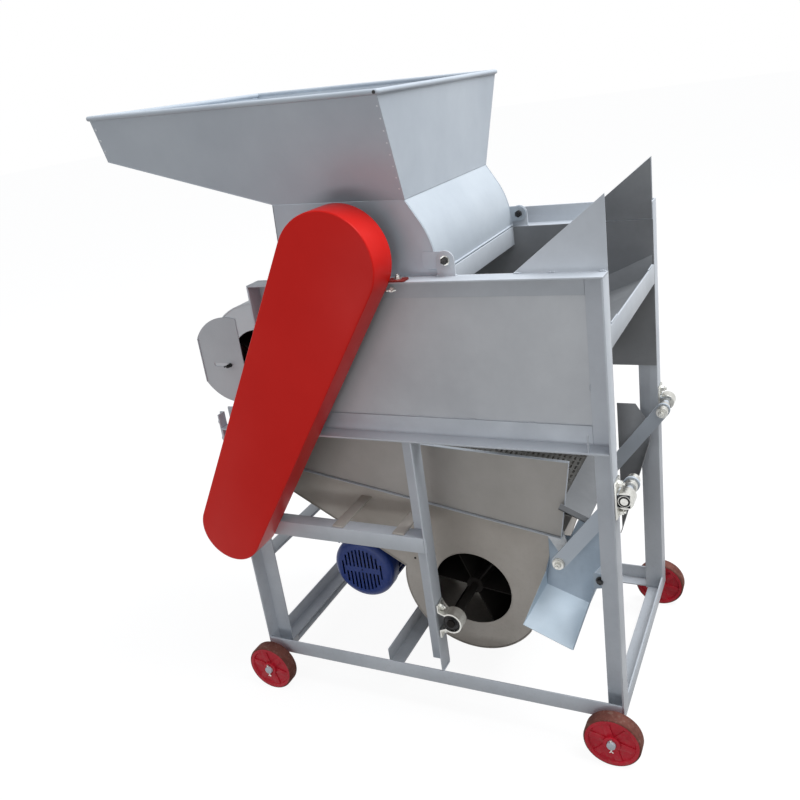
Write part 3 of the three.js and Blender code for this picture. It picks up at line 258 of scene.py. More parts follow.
def cleaned_copy(node):
    """A CAD node's shape with its triangles merged into plain faces."""
    mesh = bmesh.new()
    mesh.from_mesh(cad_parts[node].data)
    bmesh.ops.remove_doubles(mesh, verts=mesh.verts, dist=0.00002)
    bmesh.ops.dissolve_limit(mesh, angle_limit=math.radians(1), verts=mesh.verts, edges=mesh.edges)
    return mesh


silver_paint = sprayed_paint("silver_paint_on_angle_iron", "#c8cdd3", "#b9bec4", 0.46)
angle_irons = [
    "leg_front_right", "leg_rear_right", "leg_front_left", "leg_rear_left", "post_front_middle",
    "post_rear_middle", "post_front_box", "post_rear_box", "rail_front_top", "rail_rear_top",
    "rail_right_end", "rail_front_middle", "rail_rear_middle", "rail_front_motor", "rail_rear_motor",
    "rail_left_side", "base_front", "base_rear", "base_left", "base_right", "base_middle",
    "drum_cross_bar",
]
for node in angle_irons:
    iron = cleaned_copy(node)
    soften(iron, 0.9)
    finish_piece("iron_" + node, iron, silver_paint, "machine", [node])


# Weld beads where the irons meet: stick welded from the outside, chipped and painted over, so each is a
# short row of lapped ripples in the frame's own silver.
def weld_bead(mesh, start, end, size_mm=5.0):
    """A run of lapped beads between two points."""
    a = Vector(start)
    b = Vector(end)
    count = max(2, round((b - a).length / (size_mm * 0.6)))
    for i in range(count + 1):
        spot = a.lerp(b, i / count) + Vector((0, 0, 0.1 * size_mm * math.sin(2.4 * i)))
        radius = size_mm * (0.5 + 0.06 * math.sin(3.7 * i)) / 1000
        bmesh.ops.create_uvsphere(mesh, u_segments=8, v_segments=6, radius=radius,
                                  matrix=Matrix.Translation(at(*spot)) @ Matrix.Diagonal((1, 1, 0.8, 1)))


width = 569
leg = 45
left_end = -959
bead = 4.5
fine_bead = 4.0
tack_bead = 6.0
base_top = 40
shelf_z = 706
top_rail_z = 1025
end_rail_z = 919
# Both ends of each seam as (x, distance out from the legs' inner faces, z), then the bead's size.
seams = [
    ((-leg - 1, 42, 662), (-leg - 1, 42, 703), fine_bead),
    ((-439, 6, base_top), (-439, 40, base_top), bead),
    ((-484, 42, 4), (-484, 42, 38), fine_bead),
    ((-439, 43, 380), (-439, 43, 414), bead),
    ((left_end + leg, 43, 380), (left_end + leg, 43, 414), fine_bead),
    ((-795, 6, 664), (-795, 34, 664), bead),
    ((-leg, 3, 784), (-leg, 3, 796), fine_bead),
]
for x, low in ((-2, 655), (left_end + 2, 640)):
    seams += [((x, 4, base_top + 1), (x, 40, base_top + 1), bead), ((x, 2, low), (x, 2, 659), bead)]
for places, reach, out_by, z, size in (((-427, -304, -173), 5, 2, shelf_z, fine_bead),
                                       ((-176, -105, -9), 4, 4, top_rail_z, tack_bead),
                                       ((-20, left_end + 20), 12, -11, -2, fine_bead)):
    seams += [((x - reach, out_by, z), (x + reach, out_by, z), size) for x in places]
seams += [((x, 3.5, top_rail_z), (x, 8, top_rail_z), bead) for x in (-343, -303)]
beads = bmesh.new()
for out, plane in ((-1, leg), (1, width - leg)):
    for start, end, size in seams:
        weld_bead(beads, *[(x, plane + out * out_by, z) for x, out_by, z in (start, end)], size)
for y0, y1 in ((60, 110), (460, 508)):
    weld_bead(beads, (-2, y0, end_rail_z), (-2, y1, end_rail_z), fine_bead)
finish_piece("weld_beads", beads, silver_paint, "machine", smooth_degrees=80)


# The box's panels, the outlet ramp and the rear shield: 2 mm cold rolled sheet, sheared, folded and
# sprayed with the frame. Flat sheet shows broad cloudy drifts. The rear panel, the ramp and the shield take a
# darker copy of the paint, which is painted shade inside and under the box as well as dust where shells fly.
# A thin dark sheet over the rear wing's inner face is painted shade, and tacks hold the near wing to the
# rail.
sheet_paint = sprayed_paint("silver_paint_on_sheet", "#cdd0d3", "#bcbfc3", 0.44, mottle_mm=260)
# A darker copy of the sheet paint: painted shade, with dust laid over it.
shade_and_dust_sheet_paint = sprayed_paint("painted_shade_and_dust_on_sheet", "#8f9193", "#7c7d7f", 0.55, mottle_mm=180,
                                  dirt_hex="#77706a", dirt=0.4)
for node, coat in (("panel_front", sheet_paint), ("panel_rear", shade_and_dust_sheet_paint),
                   ("outlet_ramp", shade_and_dust_sheet_paint), ("rear_shield", shade_and_dust_sheet_paint)):
    folded = cleaned_copy(node)
    soften(folded, 0.5, 1)
    finish_piece("sheet_" + node, folded, coat, "machine", [node])

wing_top_x = -2
wing_foot_x = -183
wing_top_z = 1164
wing_foot_z = 1026
# A thin dark sheet on the rear wing's inner face, in the darker sheet paint, is painted shade where the wing
# stands in shadow.
painted_shade_sheet_y = 521.6
painted_shade_sheet_thick = 0.0012
tack_y = 41.5
painted_shade_sheet = bmesh.new()
painted_shade_sheet_corners = [painted_shade_sheet.verts.new(at(x, painted_shade_sheet_y, z)) for x, z in (
    (wing_foot_x, wing_foot_z), (wing_top_x, wing_foot_z), (wing_top_x, wing_top_z))]
painted_shade_sheet_face = painted_shade_sheet.faces.new(painted_shade_sheet_corners)
painted_shade_sheet_face.normal_update()
bmesh.ops.solidify(painted_shade_sheet, geom=[painted_shade_sheet_face], thickness=painted_shade_sheet_thick)
finish_piece("rear_wing_painted_shade_sheet", painted_shade_sheet, shade_and_dust_sheet_paint, "machine")
tacks = bmesh.new()
for x in (-172, -108, -12):
    weld_bead(tacks, (x - 4, tack_y, top_rail_z), (x + 4, tack_y, top_rail_z), fine_bead)
finish_piece("near_wing_tacks", tacks, silver_paint, "machine")


# Hopper: five sheets with lapped corners, spot welded along 12 mm seams, and a rim rolled over a wire.
# Its coat is the same silver, thinner and a little bluer.
hopper_paint = sprayed_paint("silver_paint_on_hopper", "#c6ced6", "#b8c0c9", 0.42, mottle_mm=300,
                             dirt=0.1)
spot_paint = sprayed_paint("bright_paint_on_spots", "#eef2f5", "#dfe4e8", 0.35, mottle_mm=40, dirt=0.05)
hopper_left = -1089
hopper_right = -383
hopper_left_top = 1416
hopper_right_top = 1390
hopper_near = -43
hopper_far = 612
lip_x = -1094
lip_z = 1320
lip_near = -13
lip_far = 582
neck_left = -715
neck_right = -397
neck_left_z = 1190
neck_right_z = 1181
neck_near = 45
neck_far = 524
sheet_mm = 2
wire_mm = 5.5
seam_wide = 12
seam_thick = 1.6
spot_pitch = 25
spot_radius = 3
spot_flatness = 0.36


def bar(mesh, start, end, radius_mm, sides=16, end_radius_mm=None):
    """A round or tapered bar between two points given in millimetres."""
    a = at(*start)
    b = at(*end)
    way = b - a
    turn = way.to_track_quat("Z", "Y").to_matrix().to_4x4()
    tip = radius_mm if end_radius_mm is None else end_radius_mm
    return bmesh.ops.create_cone(mesh, cap_ends=True, segments=sides, radius1=radius_mm / 1000,
                                 radius2=tip / 1000, depth=way.length,
                                 matrix=Matrix.Translation((a + b) / 2) @ turn)["verts"]


def flat_strip(mesh, start, end, side_way, wide_mm, thick_mm):
    """A flat strip from point to point, lying out towards side_way, centred on its own thickness."""
    a = at(*start)
    b = at(*end)
    along = (b - a).normalized()
    face = along.cross(Vector(side_way)).normalized()
    across = face.cross(along)
    shape = Matrix.Diagonal(((b - a).length, wide_mm / 1000, thick_mm / 1000, 1))
    turn = Matrix((along, across, face)).transposed().to_4x4()
    middle = (a + b) / 2 + across * wide_mm / 2000
    bmesh.ops.create_cube(mesh, size=1.0, matrix=Matrix.Translation(middle) @ turn @ shape)


def spot_welds(mesh, start, end, side_way, inset_mm, pitch_mm):
    """Shallow round spots in a row beside an edge."""
    a = Vector(start)
    b = Vector(end)
    along = (b - a).normalized()
    face = along.cross(Vector(side_way)).normalized()
    across = face.cross(along)
    turn = face.to_track_quat("Z", "Y").to_matrix().to_4x4()
    for i in range(1, int((b - a).length / pitch_mm)):
        spot = a + along * pitch_mm * i + across * inset_mm
        bmesh.ops.create_uvsphere(mesh, u_segments=8, v_segments=4, radius=spot_radius / 1000,
                                  matrix=Matrix.Translation(at(*spot)) @ turn
                                  @ Matrix.Diagonal((1, 1, spot_flatness, 1)))


def outward(mesh):
    bmesh.ops.recalc_face_normals(mesh, faces=mesh.faces)


def faces_from(mesh, points, loops):
    corners = [mesh.verts.new(at(*point)) for point in points]
    return [mesh.faces.new([corners[i] for i in loop]) for loop in loops]


hopper_points = [
    (hopper_left, hopper_near, hopper_left_top), (hopper_right, hopper_near, hopper_right_top),
    (hopper_right, hopper_far, hopper_right_top), (hopper_left, hopper_far, hopper_left_top),
    (lip_x, lip_near, lip_z), (lip_x, lip_far, lip_z),
    (neck_left, neck_near, neck_left_z), (neck_right, neck_near, neck_right_z),
    (neck_right, neck_far, neck_right_z), (neck_left, neck_far, neck_left_z),
]
hopper = bmesh.new()
faces_from(hopper, hopper_points, [
    (0, 4, 6), (0, 6, 7, 1), (1, 7, 8, 2), (2, 8, 9), (2, 9, 3), (3, 9, 5), (3, 5, 4, 0), (4, 5, 9, 6),
])
outward(hopper)
bmesh.ops.solidify(hopper, geom=hopper.faces, thickness=sheet_mm / 1000)
spots = bmesh.new()
rim = [Vector(point) for point in hopper_points[:4]]
for i, start in enumerate(rim):
    end = rim[(i + 1) % len(rim)]
    bar(hopper, start, end, wire_mm)
    bmesh.ops.create_uvsphere(hopper, u_segments=16, v_segments=8, radius=wire_mm / 1000,
                              matrix=Matrix.Translation(at(*start)))
for low, high, side_way, lapped in ((6, 4, (0.2, 0, 1), True), (4, 0, (1, 0, 0), False),
                                    (9, 5, (0.2, 0, 1), True), (5, 3, (1, 0, 0), False),
                                    (7, 1, (-1, 0, 0), True), (8, 2, (-1, 0, 0), True)):
    if lapped:
        flat_strip(hopper, hopper_points[low], hopper_points[high], side_way, seam_wide, seam_thick)
    spot_welds(spots, hopper_points[low], hopper_points[high], side_way, seam_wide / 2, spot_pitch)
finish_piece("hopper_sheets", hopper, hopper_paint, "tilting_hopper", ["hopper"])
finish_piece("hopper_spot_welds", spots, spot_paint, "tilting_hopper")


# Drum cover: one sheet rolled over the drum and turned over at its foot, with two end plates cut out
# over the shaft, and flat hinge lugs welded to their right corners.
cover_left = -723
cover_radius = 187
drum_x = -530
drum_z = 1074
cover_centre_z = 1040
cover_foot = 1024.3
round_degrees = 30
notch_half = 27.5
hinge_x = -323
hinge_z = 1056
lug_radius = 18
lug_arm = 52
lug_proud = 2.6
lug_corner = 3
lug_heel = 10
seam_drop = 0.6
foot_wire = 2.4
edge_wire = 1.6
edge_inset = 0.012
lug_bead = 3.2


def arc(x, z, radius, start_degrees, end_degrees, steps=24):
    """Points on an arc, as (x, z) in millimetres."""
    span = end_degrees - start_degrees
    turns = [math.radians(start_degrees + span * i / steps) for i in range(steps + 1)]
    return [(x + radius * math.cos(turn), z + radius * math.sin(turn)) for turn in turns]


def wire(mesh, line, y, radius_mm):
    """A thin round edge along a line of (x, z) points."""
    for start, end in zip(line, line[1:]):
        bar(mesh, (start[0], y, start[1]), (end[0], y, end[1]), radius_mm, 8)


def only(result, kind):
    return [item for item in result["geom"] if isinstance(item, kind)]


def extruded(mesh, loops, y_start, y_end):
    """A flat sheet cut to an outline, the later loops being holes, and given its depth along Y."""
    edges = []
    for loop in loops:
        corners = [mesh.verts.new(at(x, y_start, z)) for x, z in loop]
        edges += [mesh.edges.new((corners[i - 1], corners[i])) for i in range(len(corners))]
    filled = bmesh.ops.triangle_fill(mesh, use_beauty=True, use_dissolve=False, edges=edges)
    faces = only(filled, bmesh.types.BMFace)
    grown = bmesh.ops.extrude_face_region(mesh, geom=faces)
    moved = only(grown, bmesh.types.BMVert)
    bmesh.ops.translate(mesh, verts=moved, vec=(0, (y_end - y_start) / 1000, 0))


def ribbon(mesh, profile, y_start, y_end, thick_mm):
    """A strip of sheet bent along a profile of (x, z) points, as wide as the span in Y."""
    near = [mesh.verts.new(at(x, y_start, z)) for x, z in profile]
    edges = [mesh.edges.new(pair) for pair in zip(near, near[1:])]
    grown = bmesh.ops.extrude_edge_only(mesh, edges=edges)
    moved = only(grown, bmesh.types.BMVert)
    faces = only(grown, bmesh.types.BMFace)
    bmesh.ops.translate(mesh, verts=moved, vec=(0, (y_end - y_start) / 1000, 0))
    bmesh.ops.solidify(mesh, geom=faces, thickness=thick_mm / 1000)


cover_paint = sprayed_paint("silver_paint_on_cover", "#c6ced5", "#b9c1c9", 0.46, mottle_mm=200, dirt=0.1)
cover_right = drum_x + cover_radius
cover_arc = (arc(drum_x, cover_centre_z, cover_radius, 0, round_degrees, 28)
             + [(neck_right, neck_right_z - seam_drop)])
cover_end = ([(cover_left, cover_foot), (drum_x - notch_half, cover_foot)]
             + arc(drum_x, drum_z, notch_half, 180, 0, 16)
             + [(drum_x + notch_half, cover_foot), (cover_right, cover_foot)]
             + cover_arc + [(neck_left, neck_left_z - seam_drop)])
lug_left = hinge_x - lug_arm
lug_low = hinge_z - lug_radius
lug_high = hinge_z + lug_radius
lug_outline = (arc(hinge_x, hinge_z, lug_radius, -90, 90, 16)
               + arc(lug_left + lug_corner, lug_high - lug_corner, lug_corner, 90, 180, 4)
               + arc(lug_left + lug_heel, lug_low + lug_heel, lug_heel, 180, 270, 6))
cover = bmesh.new()
for y, lug_y in ((neck_near, neck_near - lug_proud), (neck_far - sheet_mm, neck_far)):
    extruded(cover, [cover_end], y, y + sheet_mm)
    extruded(cover, [lug_outline], lug_y, lug_y + lug_proud)
ribbon(cover, [(cover_right - 1, cover_foot)] + [(x - 1, z) for x, z in cover_arc],
       neck_near, neck_far, sheet_mm)
ribbon(cover, [(cover_left + 1, cover_foot), (neck_left + 1, neck_left_z - seam_drop)],
       neck_near, neck_far, sheet_mm)
outward(cover)
for y in (neck_near - 0.5, neck_far + 0.5):
    weld_bead(cover, (lug_left + 12, y, lug_low), (cover_right - 4, y, lug_low), lug_bead)
    weld_bead(cover, (lug_left, y, lug_low + 12), (lug_left, y, lug_high - 4), lug_bead)
bar(cover, (cover_right - 1, neck_near + 1, cover_foot + 3), (cover_right - 1, neck_far - 1, cover_foot + 3),
    foot_wire, 12)
trim = [(x + (drum_x - x) * edge_inset, z + (cover_centre_z - z) * edge_inset) for x, z in cover_arc]
for y in (neck_near - 0.4, neck_far + 0.4):
    wire(cover, trim, y, edge_wire)
finish_piece("drum_cover_sheets", cover, cover_paint, "tilting_hopper", ["drum_cover"])


# Bolts, nuts and pins: bright zinc plated hexagons with washers, blackened pins at the hinge, and a dark disc
# at the end of the rim's roll, which is painted shade in the open roll. Plating gives a faint warm cast, and
# chamfered corners catch the light.
def plated_metal(name, metal_hex, shade_hex, gloss, patch_mm, metallic=1.0, dirt_hex="#5d564c", dirt=0.3):
    """Bare or plated metal: patches of tone, and dark dirt in the pores."""
    pore_mm = 6
    pore_strength = 0.08
    pore_depth = 0.0002
    material, tree, skin, place = new_skin(name, metallic)
    spangle = add_node(tree, "ShaderNodeTexVoronoi", values={"Scale": 1000 / patch_mm},
                       links={"Vector": place})
    flake = add_node(tree, "ShaderNodeSeparateColor", links={"Color": spangle.outputs["Color"]})
    coat = add_node(tree, "ShaderNodeMix", {"data_type": "RGBA"},
                    {"A": linear(metal_hex), "B": linear(shade_hex)},
                    {"Factor": flake.outputs["Red"]})
    pores = add_node(tree, "ShaderNodeTexNoise",
                     values={"Scale": 1000 / pore_mm, "Detail": 5.0, "Roughness": 0.7},
                     links={"Vector": place})
    grime = add_node(tree, "ShaderNodeMapRange",
                     values={"From Min": 0.5, "From Max": 0.75, "To Max": dirt},
                     links={"Value": pores.outputs["Fac"]})
    sheen = add_node(tree, "ShaderNodeMapRange", values={"To Min": gloss - 0.07, "To Max": gloss + 0.09},
                     links={"Value": flake.outputs["Green"]})
    finish_skin(tree, skin, coat, dirt_hex, grime.outputs["Result"], sheen, pores.outputs["Fac"],
                pore_strength, pore_depth)
    return material


def hexagon(mesh, place, way, across_mm, thick_mm):
    """A bolt head or nut with chamfered corners; place is its seat and way points outwards."""
    step = Vector(way)
    seat = Vector(place)
    radius = across_mm / math.sqrt(3)
    chamfer = 0.12 * across_mm
    shoulder = seat + step * (thick_mm - chamfer * 0.6)
    bar(mesh, seat, shoulder, radius, 6)
    bar(mesh, shoulder, seat + step * thick_mm, radius, 6, radius - chamfer)


def bolted(mesh, place, way, across_mm=13, washer=True, stub_mm=0.0):
    """A washer, a hexagon and, for a nut, the bolt's end standing through it."""
    step = Vector(way)
    seat = Vector(place)
    if washer:
        bar(mesh, seat, seat + step * 1.5, across_mm * 0.85, 24)
        seat = seat + step * 1.5
    thick = across_mm * 0.6
    hexagon(mesh, seat, way, across_mm, thick)
    if stub_mm:
        bar(mesh, seat + step * thick, seat + step * (thick + stub_mm), across_mm * 0.3, 12)


def joined(mesh, part, matrix=None):
    """Moves one bmesh, if asked, and adds it to another."""
    if matrix is not None:
        bmesh.ops.transform(part, matrix=matrix, verts=part.verts)
    data = bpy.data.meshes.new("part")
    part.to_mesh(data)
    part.free()
    mesh.from_mesh(data)
    bpy.data.meshes.remove(data)


def spun(mesh, profile, x, y, z, steps=48):
    """Turns a profile of (radius, along) points about a shaft along Y, as its own closed skin."""
    skin = bmesh.new()
    start = [skin.verts.new(at(x + radius, y + along, z)) for radius, along in profile]
    edges = [skin.edges.new(pair) for pair in zip(start, start[1:])]
    bmesh.ops.spin(skin, geom=start + edges, cent=at(x, y, z), axis=(0, 1, 0), angle=2 * math.pi,
                   steps=steps, use_merge=True)
    bmesh.ops.remove_doubles(skin, verts=skin.verts, dist=0.000005)
    outward(skin)
    joined(mesh, skin)


zinc_plate = plated_metal("bright_zinc_plate", "#d2d2cd", "#c8c7c2", 0.38, 3.5, dirt=0.06)
black_steel = plated_metal("blackened_steel", "#3a3a3b", "#2a2a2b", 0.42, 3, metallic=0.8, dirt=0.2)
pin_head_in = 38
pin_nut_in = 47
washer_in = 38.2
washer_bore = 7
washer_out = 10
washer_thick = 1.5
roll_bore = 3.4
roll_x = hopper_right - 3
hinge_pins = bmesh.new()
hinge_washers = bmesh.new()
for near, way in ((0, 1), (width, -1)):
    bolted(hinge_pins, (hinge_x, near + way * pin_head_in, hinge_z), (0, -way, 0), 14, False)
    bolted(hinge_pins, (hinge_x, near + way * pin_nut_in, hinge_z), (0, way, 0), 15, False, 4)
    outer_face = -way * washer_thick
    spun(hinge_washers, [(washer_bore, 0), (washer_out, 0), (washer_out, outer_face),
                         (washer_bore, outer_face), (washer_bore, 0)],
         hinge_x, near + way * washer_in, hinge_z, 32)
# A dark disc of blackened steel at the rim's right end is painted shade inside the open roll.
rim_end_disc = bmesh.new()
bar(rim_end_disc, (roll_x, hopper_near - 4.6, hopper_right_top), (roll_x, hopper_near - 6.2, hopper_right_top),
    roll_bore)
finish_piece("rolled_rim_painted_shade_disc", rim_end_disc, black_steel, "tilting_hopper")
finish_piece("hinge_bolts", hinge_pins, black_steel, "machine")
finish_piece("hinge_washers", hinge_washers, zinc_plate, "machine")


# Belt guards: a face plate with a deep wall folded round it, sprayed in glossy signal red, which keeps
# a soft roll of light along the fold. A scuffed tab at the top is bolted to the rail, over a wing nut on the
# rail's face.
red_enamel = sprayed_paint("glossy_red_enamel", "#e41f17", "#d91b14", 0.32, 0.0, mottle_mm=350, grain_mm=3,
                           dirt_hex="#8c3a33", dirt=0.12, shine=0.16)
guard_sheet_mm = 1.6
guard_fold_mm = 3.0
guard_plates = (-81, 629)
guard_backs = (-0.3, 569.3)
tab_left = -442
tab_right = -400
tab_near = -4
tab_far = 26
tab_low = 1024.3
tab_high = 1027.3
tab_corner = 7


def wrapped(circles, steps=96):
    """The outline of a tight band round circles given as (x, z, radius), walked round by direction."""
    outline = []
    for i in range(steps):
        turn = 2 * math.pi * i / steps
        way = (math.cos(turn), math.sin(turn))
        reach = [x * way[0] + z * way[1] + radius for x, z, radius in circles]
        x, z, radius = circles[reach.index(max(reach))]
        outline.append((x + radius * way[0], z + radius * way[1]))
    return outline


def block(mesh, x0, x1, y0, y1, z0, z1, radius_mm=0.8):
    """A rectangular block with softened edges."""
    part = bmesh.new()
    middle = at((x0 + x1) / 2, (y0 + y1) / 2, (z0 + z1) / 2)
    shape = Matrix.Diagonal((abs(x1 - x0) / 1000, abs(y1 - y0) / 1000, abs(z1 - z0) / 1000, 1))
    bmesh.ops.create_cube(part, size=1.0, matrix=Matrix.Translation(middle) @ shape)
    if radius_mm:
        soften(part, radius_mm)
    joined(mesh, part)


def guard_tray(circles, face_y, open_y):
    """A face plate round the circles, its wall folded back to open_y."""
    tray = bmesh.new()
    outline = wrapped(circles, 160)
    rim = tray.faces.new([tray.verts.new(at(x, face_y, z)) for x, z in outline])
    grown = bmesh.ops.extrude_face_region(tray, geom=[rim])
    moved = only(grown, bmesh.types.BMVert)
    back = only(grown, bmesh.types.BMFace)
    bmesh.ops.translate(tray, verts=moved, vec=(0, (open_y - face_y) / 1000, 0))
    bmesh.ops.delete(tray, geom=back, context="FACES_ONLY")
    front_edges = [edge for edge in tray.edges
                   if all(abs(v.co.y - at(0, face_y, 0).y) < 1e-6 for v in edge.verts)]
    bmesh.ops.bevel(tray, geom=front_edges, offset=guard_fold_mm / 1000, segments=4, profile=0.5,
                    affect="EDGES", clamp_overlap=True, material=-1)
    outward(tray)
    bmesh.ops.solidify(tray, geom=tray.faces, thickness=guard_sheet_mm / 1000)
    return tray


front_guard_circles = [(-535, 1078, 113), (-934, 424, 84)]
front_guard = guard_tray(front_guard_circles, guard_plates[0], guard_backs[0])
finish_piece("front_guard_tray", front_guard, red_enamel, "machine", ["belt_guard_front"])
tab = bmesh.new()
block(tab, tab_left, tab_right, tab_near, tab_far, tab_low, tab_high, 0)
tab_edges = [edge for edge in tab.edges if abs(edge.verts[0].co.z - edge.verts[1].co.z) > 0.001]
bmesh.ops.bevel(tab, geom=tab_edges, offset=tab_corner / 1000, segments=5, profile=0.5, affect="EDGES",
                clamp_overlap=True, material=-1)
scuffed_red = sprayed_paint("scuffed_red_enamel", "#8c2a25", "#6f231f", 0.5, 0.0, mottle_mm=25,
                            dirt_hex="#6a5a50", dirt=0.5, shine=0.2)
finish_piece("front_guard_tab", tab, scuffed_red, "machine")
rear_guard_circles = [(drum_x, drum_z, 116), (-404, 183, 48.5), (-836, 815, 48.5)]
rear_guard = guard_tray(rear_guard_circles, guard_plates[1], guard_backs[1])
finish_piece("rear_guard_tray", rear_guard, red_enamel, "machine", ["belt_guard_rear"])


def wing_nut(mesh, place, way, across_mm=11):
    """A nut with two flat ears; place is its seat and way points outwards."""
    step = Vector(way)
    seat = Vector(place)
    ear_way = Vector((1, 0, 0)) if abs(step.x) < 0.5 else Vector((0, 0, 1))
    bar(mesh, seat, seat + step * 8, across_mm / 2, 16, across_mm * 0.4)
    for side in (-1, 1):
        foot = seat + ear_way * side * 3 + step * 4
        flat_strip(mesh, foot, foot + ear_way * side * 9 + step * 8, step, 8, 2.0)
    bar(mesh, seat, seat + step * 16, 2.6, 12)


tab_bolt = bmesh.new()
wing_nut(tab_bolt, (-428, -0.3, 1010), (0, -1, 0), 12)
bolted(tab_bolt, ((tab_left + tab_right) / 2, 13, tab_high), (0, 0, 1), 10, True, 3)
finish_piece("guard_wing_bolt", tab_bolt, zinc_plate, "machine")


# Wheels: moulded red plastic with six shallow pockets between flat spokes, a split pin through each axle
# end, and a tread dulled by brown farmyard dust.
wheel_radius = 65
wheel_wide = 34
axle_z = -26
axle_places = (("left", left_end + 20), ("right", -20))
wheel_out = 31
spoke_long = 36
spoke_thick = 17
spoke_middle = 35
pin_out = 55.5
pin_wire = 1.4
pin_leg_wire = 1.2
pin_eye = 2.6
pin_splay = 4
axle_radius = 9
wheel_plastic = sprayed_paint("moulded_red_plastic", "#c81f33", "#b01a2c", 0.45, 0.0, mottle_mm=60,
                              grain_mm=1.5, dirt_hex="#9a7768", dirt=0.45, shine=0.3)
dusty_tread = sprayed_paint("dusty_tread", "#79493f", "#5b332c", 0.75, 0.0, mottle_mm=30, grain_mm=1.2,
                            dirt_hex="#a38a7c", dirt=0.7, shine=0.2)


def mirrored(profile, closed=True):
    """Half a profile with its mirror image along the shaft, closed to a ring where it has a bore."""
    whole = profile + [(radius, -along) for radius, along in reversed(profile)]
    return whole + whole[:1] if closed else whole


def wheel(x, middle):
    half = wheel_wide / 2
    body = bmesh.new()
    spun(body, mirrored([(11, -half - 4), (18, -half - 4), (19, -half - 3), (19, -half + 5), (51, -half + 5),
                         (52, -half + 4), (53, -half + 1), (54, -half), (61, -half)]), x, middle, axle_z)
    spokes = bmesh.new()
    shape = Matrix.Diagonal((spoke_long / 1000, (wheel_wide - 4) / 1000, spoke_thick / 1000, 1))
    for i in range(6):
        turn = Matrix.Rotation(math.radians(60 * i + 15), 4, "Y")
        bmesh.ops.create_cube(spokes, size=1.0, matrix=Matrix.Translation(at(x, middle, axle_z)) @ turn
                              @ Matrix.Translation((spoke_middle / 1000, 0, 0)) @ shape)
    soften(spokes, 1.5)
    joined(body, spokes)
    tread = bmesh.new()
    spun(tread, mirrored([(wheel_radius - 5.5, -half + 0.2), (wheel_radius - 3, -half + 0.2),
                          (wheel_radius - 1, -half + 1.5), (wheel_radius, -half + 4)]), x, middle, axle_z, 64)
    return body, tread


split_pins = bmesh.new()
for end, x in axle_places:
    for row, side, near in (("front", -1, 0), ("rear", 1, width)):
        body, tread = wheel(x, near + side * wheel_out)
        name = "wheel_" + row + "_" + end
        finish_piece(name + "_disc", body, wheel_plastic, name, [name])
        finish_piece(name + "_tread", tread, dusty_tread, name)
        y = near + side * pin_out
        low = axle_z - 15
        high = axle_z + 13
        bar(split_pins, (x, y, low), (x, y, high), pin_wire, 8)
        for splay in (pin_splay, -pin_splay):
            bar(split_pins, (x, y, low), (x + splay, y, low - pin_splay), pin_leg_wire, 8)
        bar(split_pins, (x, y, high), (x, y, high + 4), pin_eye, 12)
        bar(split_pins, (x, y + side, axle_z), (x, y + side * 2.4, axle_z), axle_radius, 24)
finish_piece("axle_split_pins", split_pins, zinc_plate, "machine")


# Motor: a finned aluminium body with feet, webs and a terminal box, and a pressed fan cover with slots.
# It is sprayed blue, almost navy between the fins, and behind the slots turns a fan of black plastic.
motor_blue = sprayed_paint("blue_motor_enamel", "#1b3a86", "#163172", 0.36, 0.0, mottle_mm=90, grain_mm=1.8,
                           dirt_hex="#7d8190", dirt=0.35, shine=0.4)
motor_x = -720
motor_z = 194
motor_front = 150
motor_slope = math.atan2(111, 180)
slot_pitch = 11.5
slot_half = 2.6
grille_radius = 62
fan_cover_out = 88.5
fan_cover_sheet = 1.5
fan_cover_deep = 45
rolled_edge = 21
plate_out = fan_cover_out - rolled_edge
slot_hub = 8
end_slot = 22
fin_count = 24
feet_near = 235
feet_far = 360
foot_places = (-58, 58)


def swung(x, z, turn):
    """Carries what is drawn about the corner's line along Y to (x, z), turned about that line."""
    return (Matrix.Translation(at(x, 0, z)) @ Matrix.Rotation(turn, 4, "Y")
            @ Matrix.Translation(-at(0, 0, 0)))


def slot(across, low, high):
    corners = ((-slot_half, low), (slot_half, low), (slot_half, high), (-slot_half, high))
    return [(motor_x + across + dx, motor_z + dz) for dx, dz in corners]


slots = []
for i in range(-4, 5):
    across = slot_pitch * i
    reach = math.sqrt(grille_radius ** 2 - across ** 2)
    slots += [slot(across, -reach, -slot_hub), slot(across, slot_hub, reach)]
slots += [slot(across, -end_slot, end_slot) for across in (-slot_pitch * 5, slot_pitch * 5)]
slots.append(arc(motor_x, motor_z, 2.4, 0, 330, 11))
fan_cover = bmesh.new()
extruded(fan_cover, [arc(motor_x, motor_z, plate_out, 0, 355, 71)] + slots,
         motor_front, motor_front + fan_cover_sheet)
outward(fan_cover)
rolls = [math.radians(a) for a in range(10, 91, 10)]
inner_roll = rolled_edge - fan_cover_sheet
outside = [(plate_out + rolled_edge * math.sin(a), rolled_edge * (1 - math.cos(a))) for a in rolls]
inside = [(plate_out + inner_roll * math.sin(a), rolled_edge - inner_roll * math.cos(a))
          for a in reversed(rolls)]
inner_edge = plate_out - 0.1
spun(fan_cover, [(inner_edge, 0)] + outside
     + [(fan_cover_out, fan_cover_deep), (fan_cover_out - fan_cover_sheet, fan_cover_deep)]
     + inside + [(inner_edge, fan_cover_sheet), (inner_edge, 0)], motor_x, motor_front, motor_z, 72)
finish_piece("motor_fan_cover", fan_cover, motor_blue, "machine")

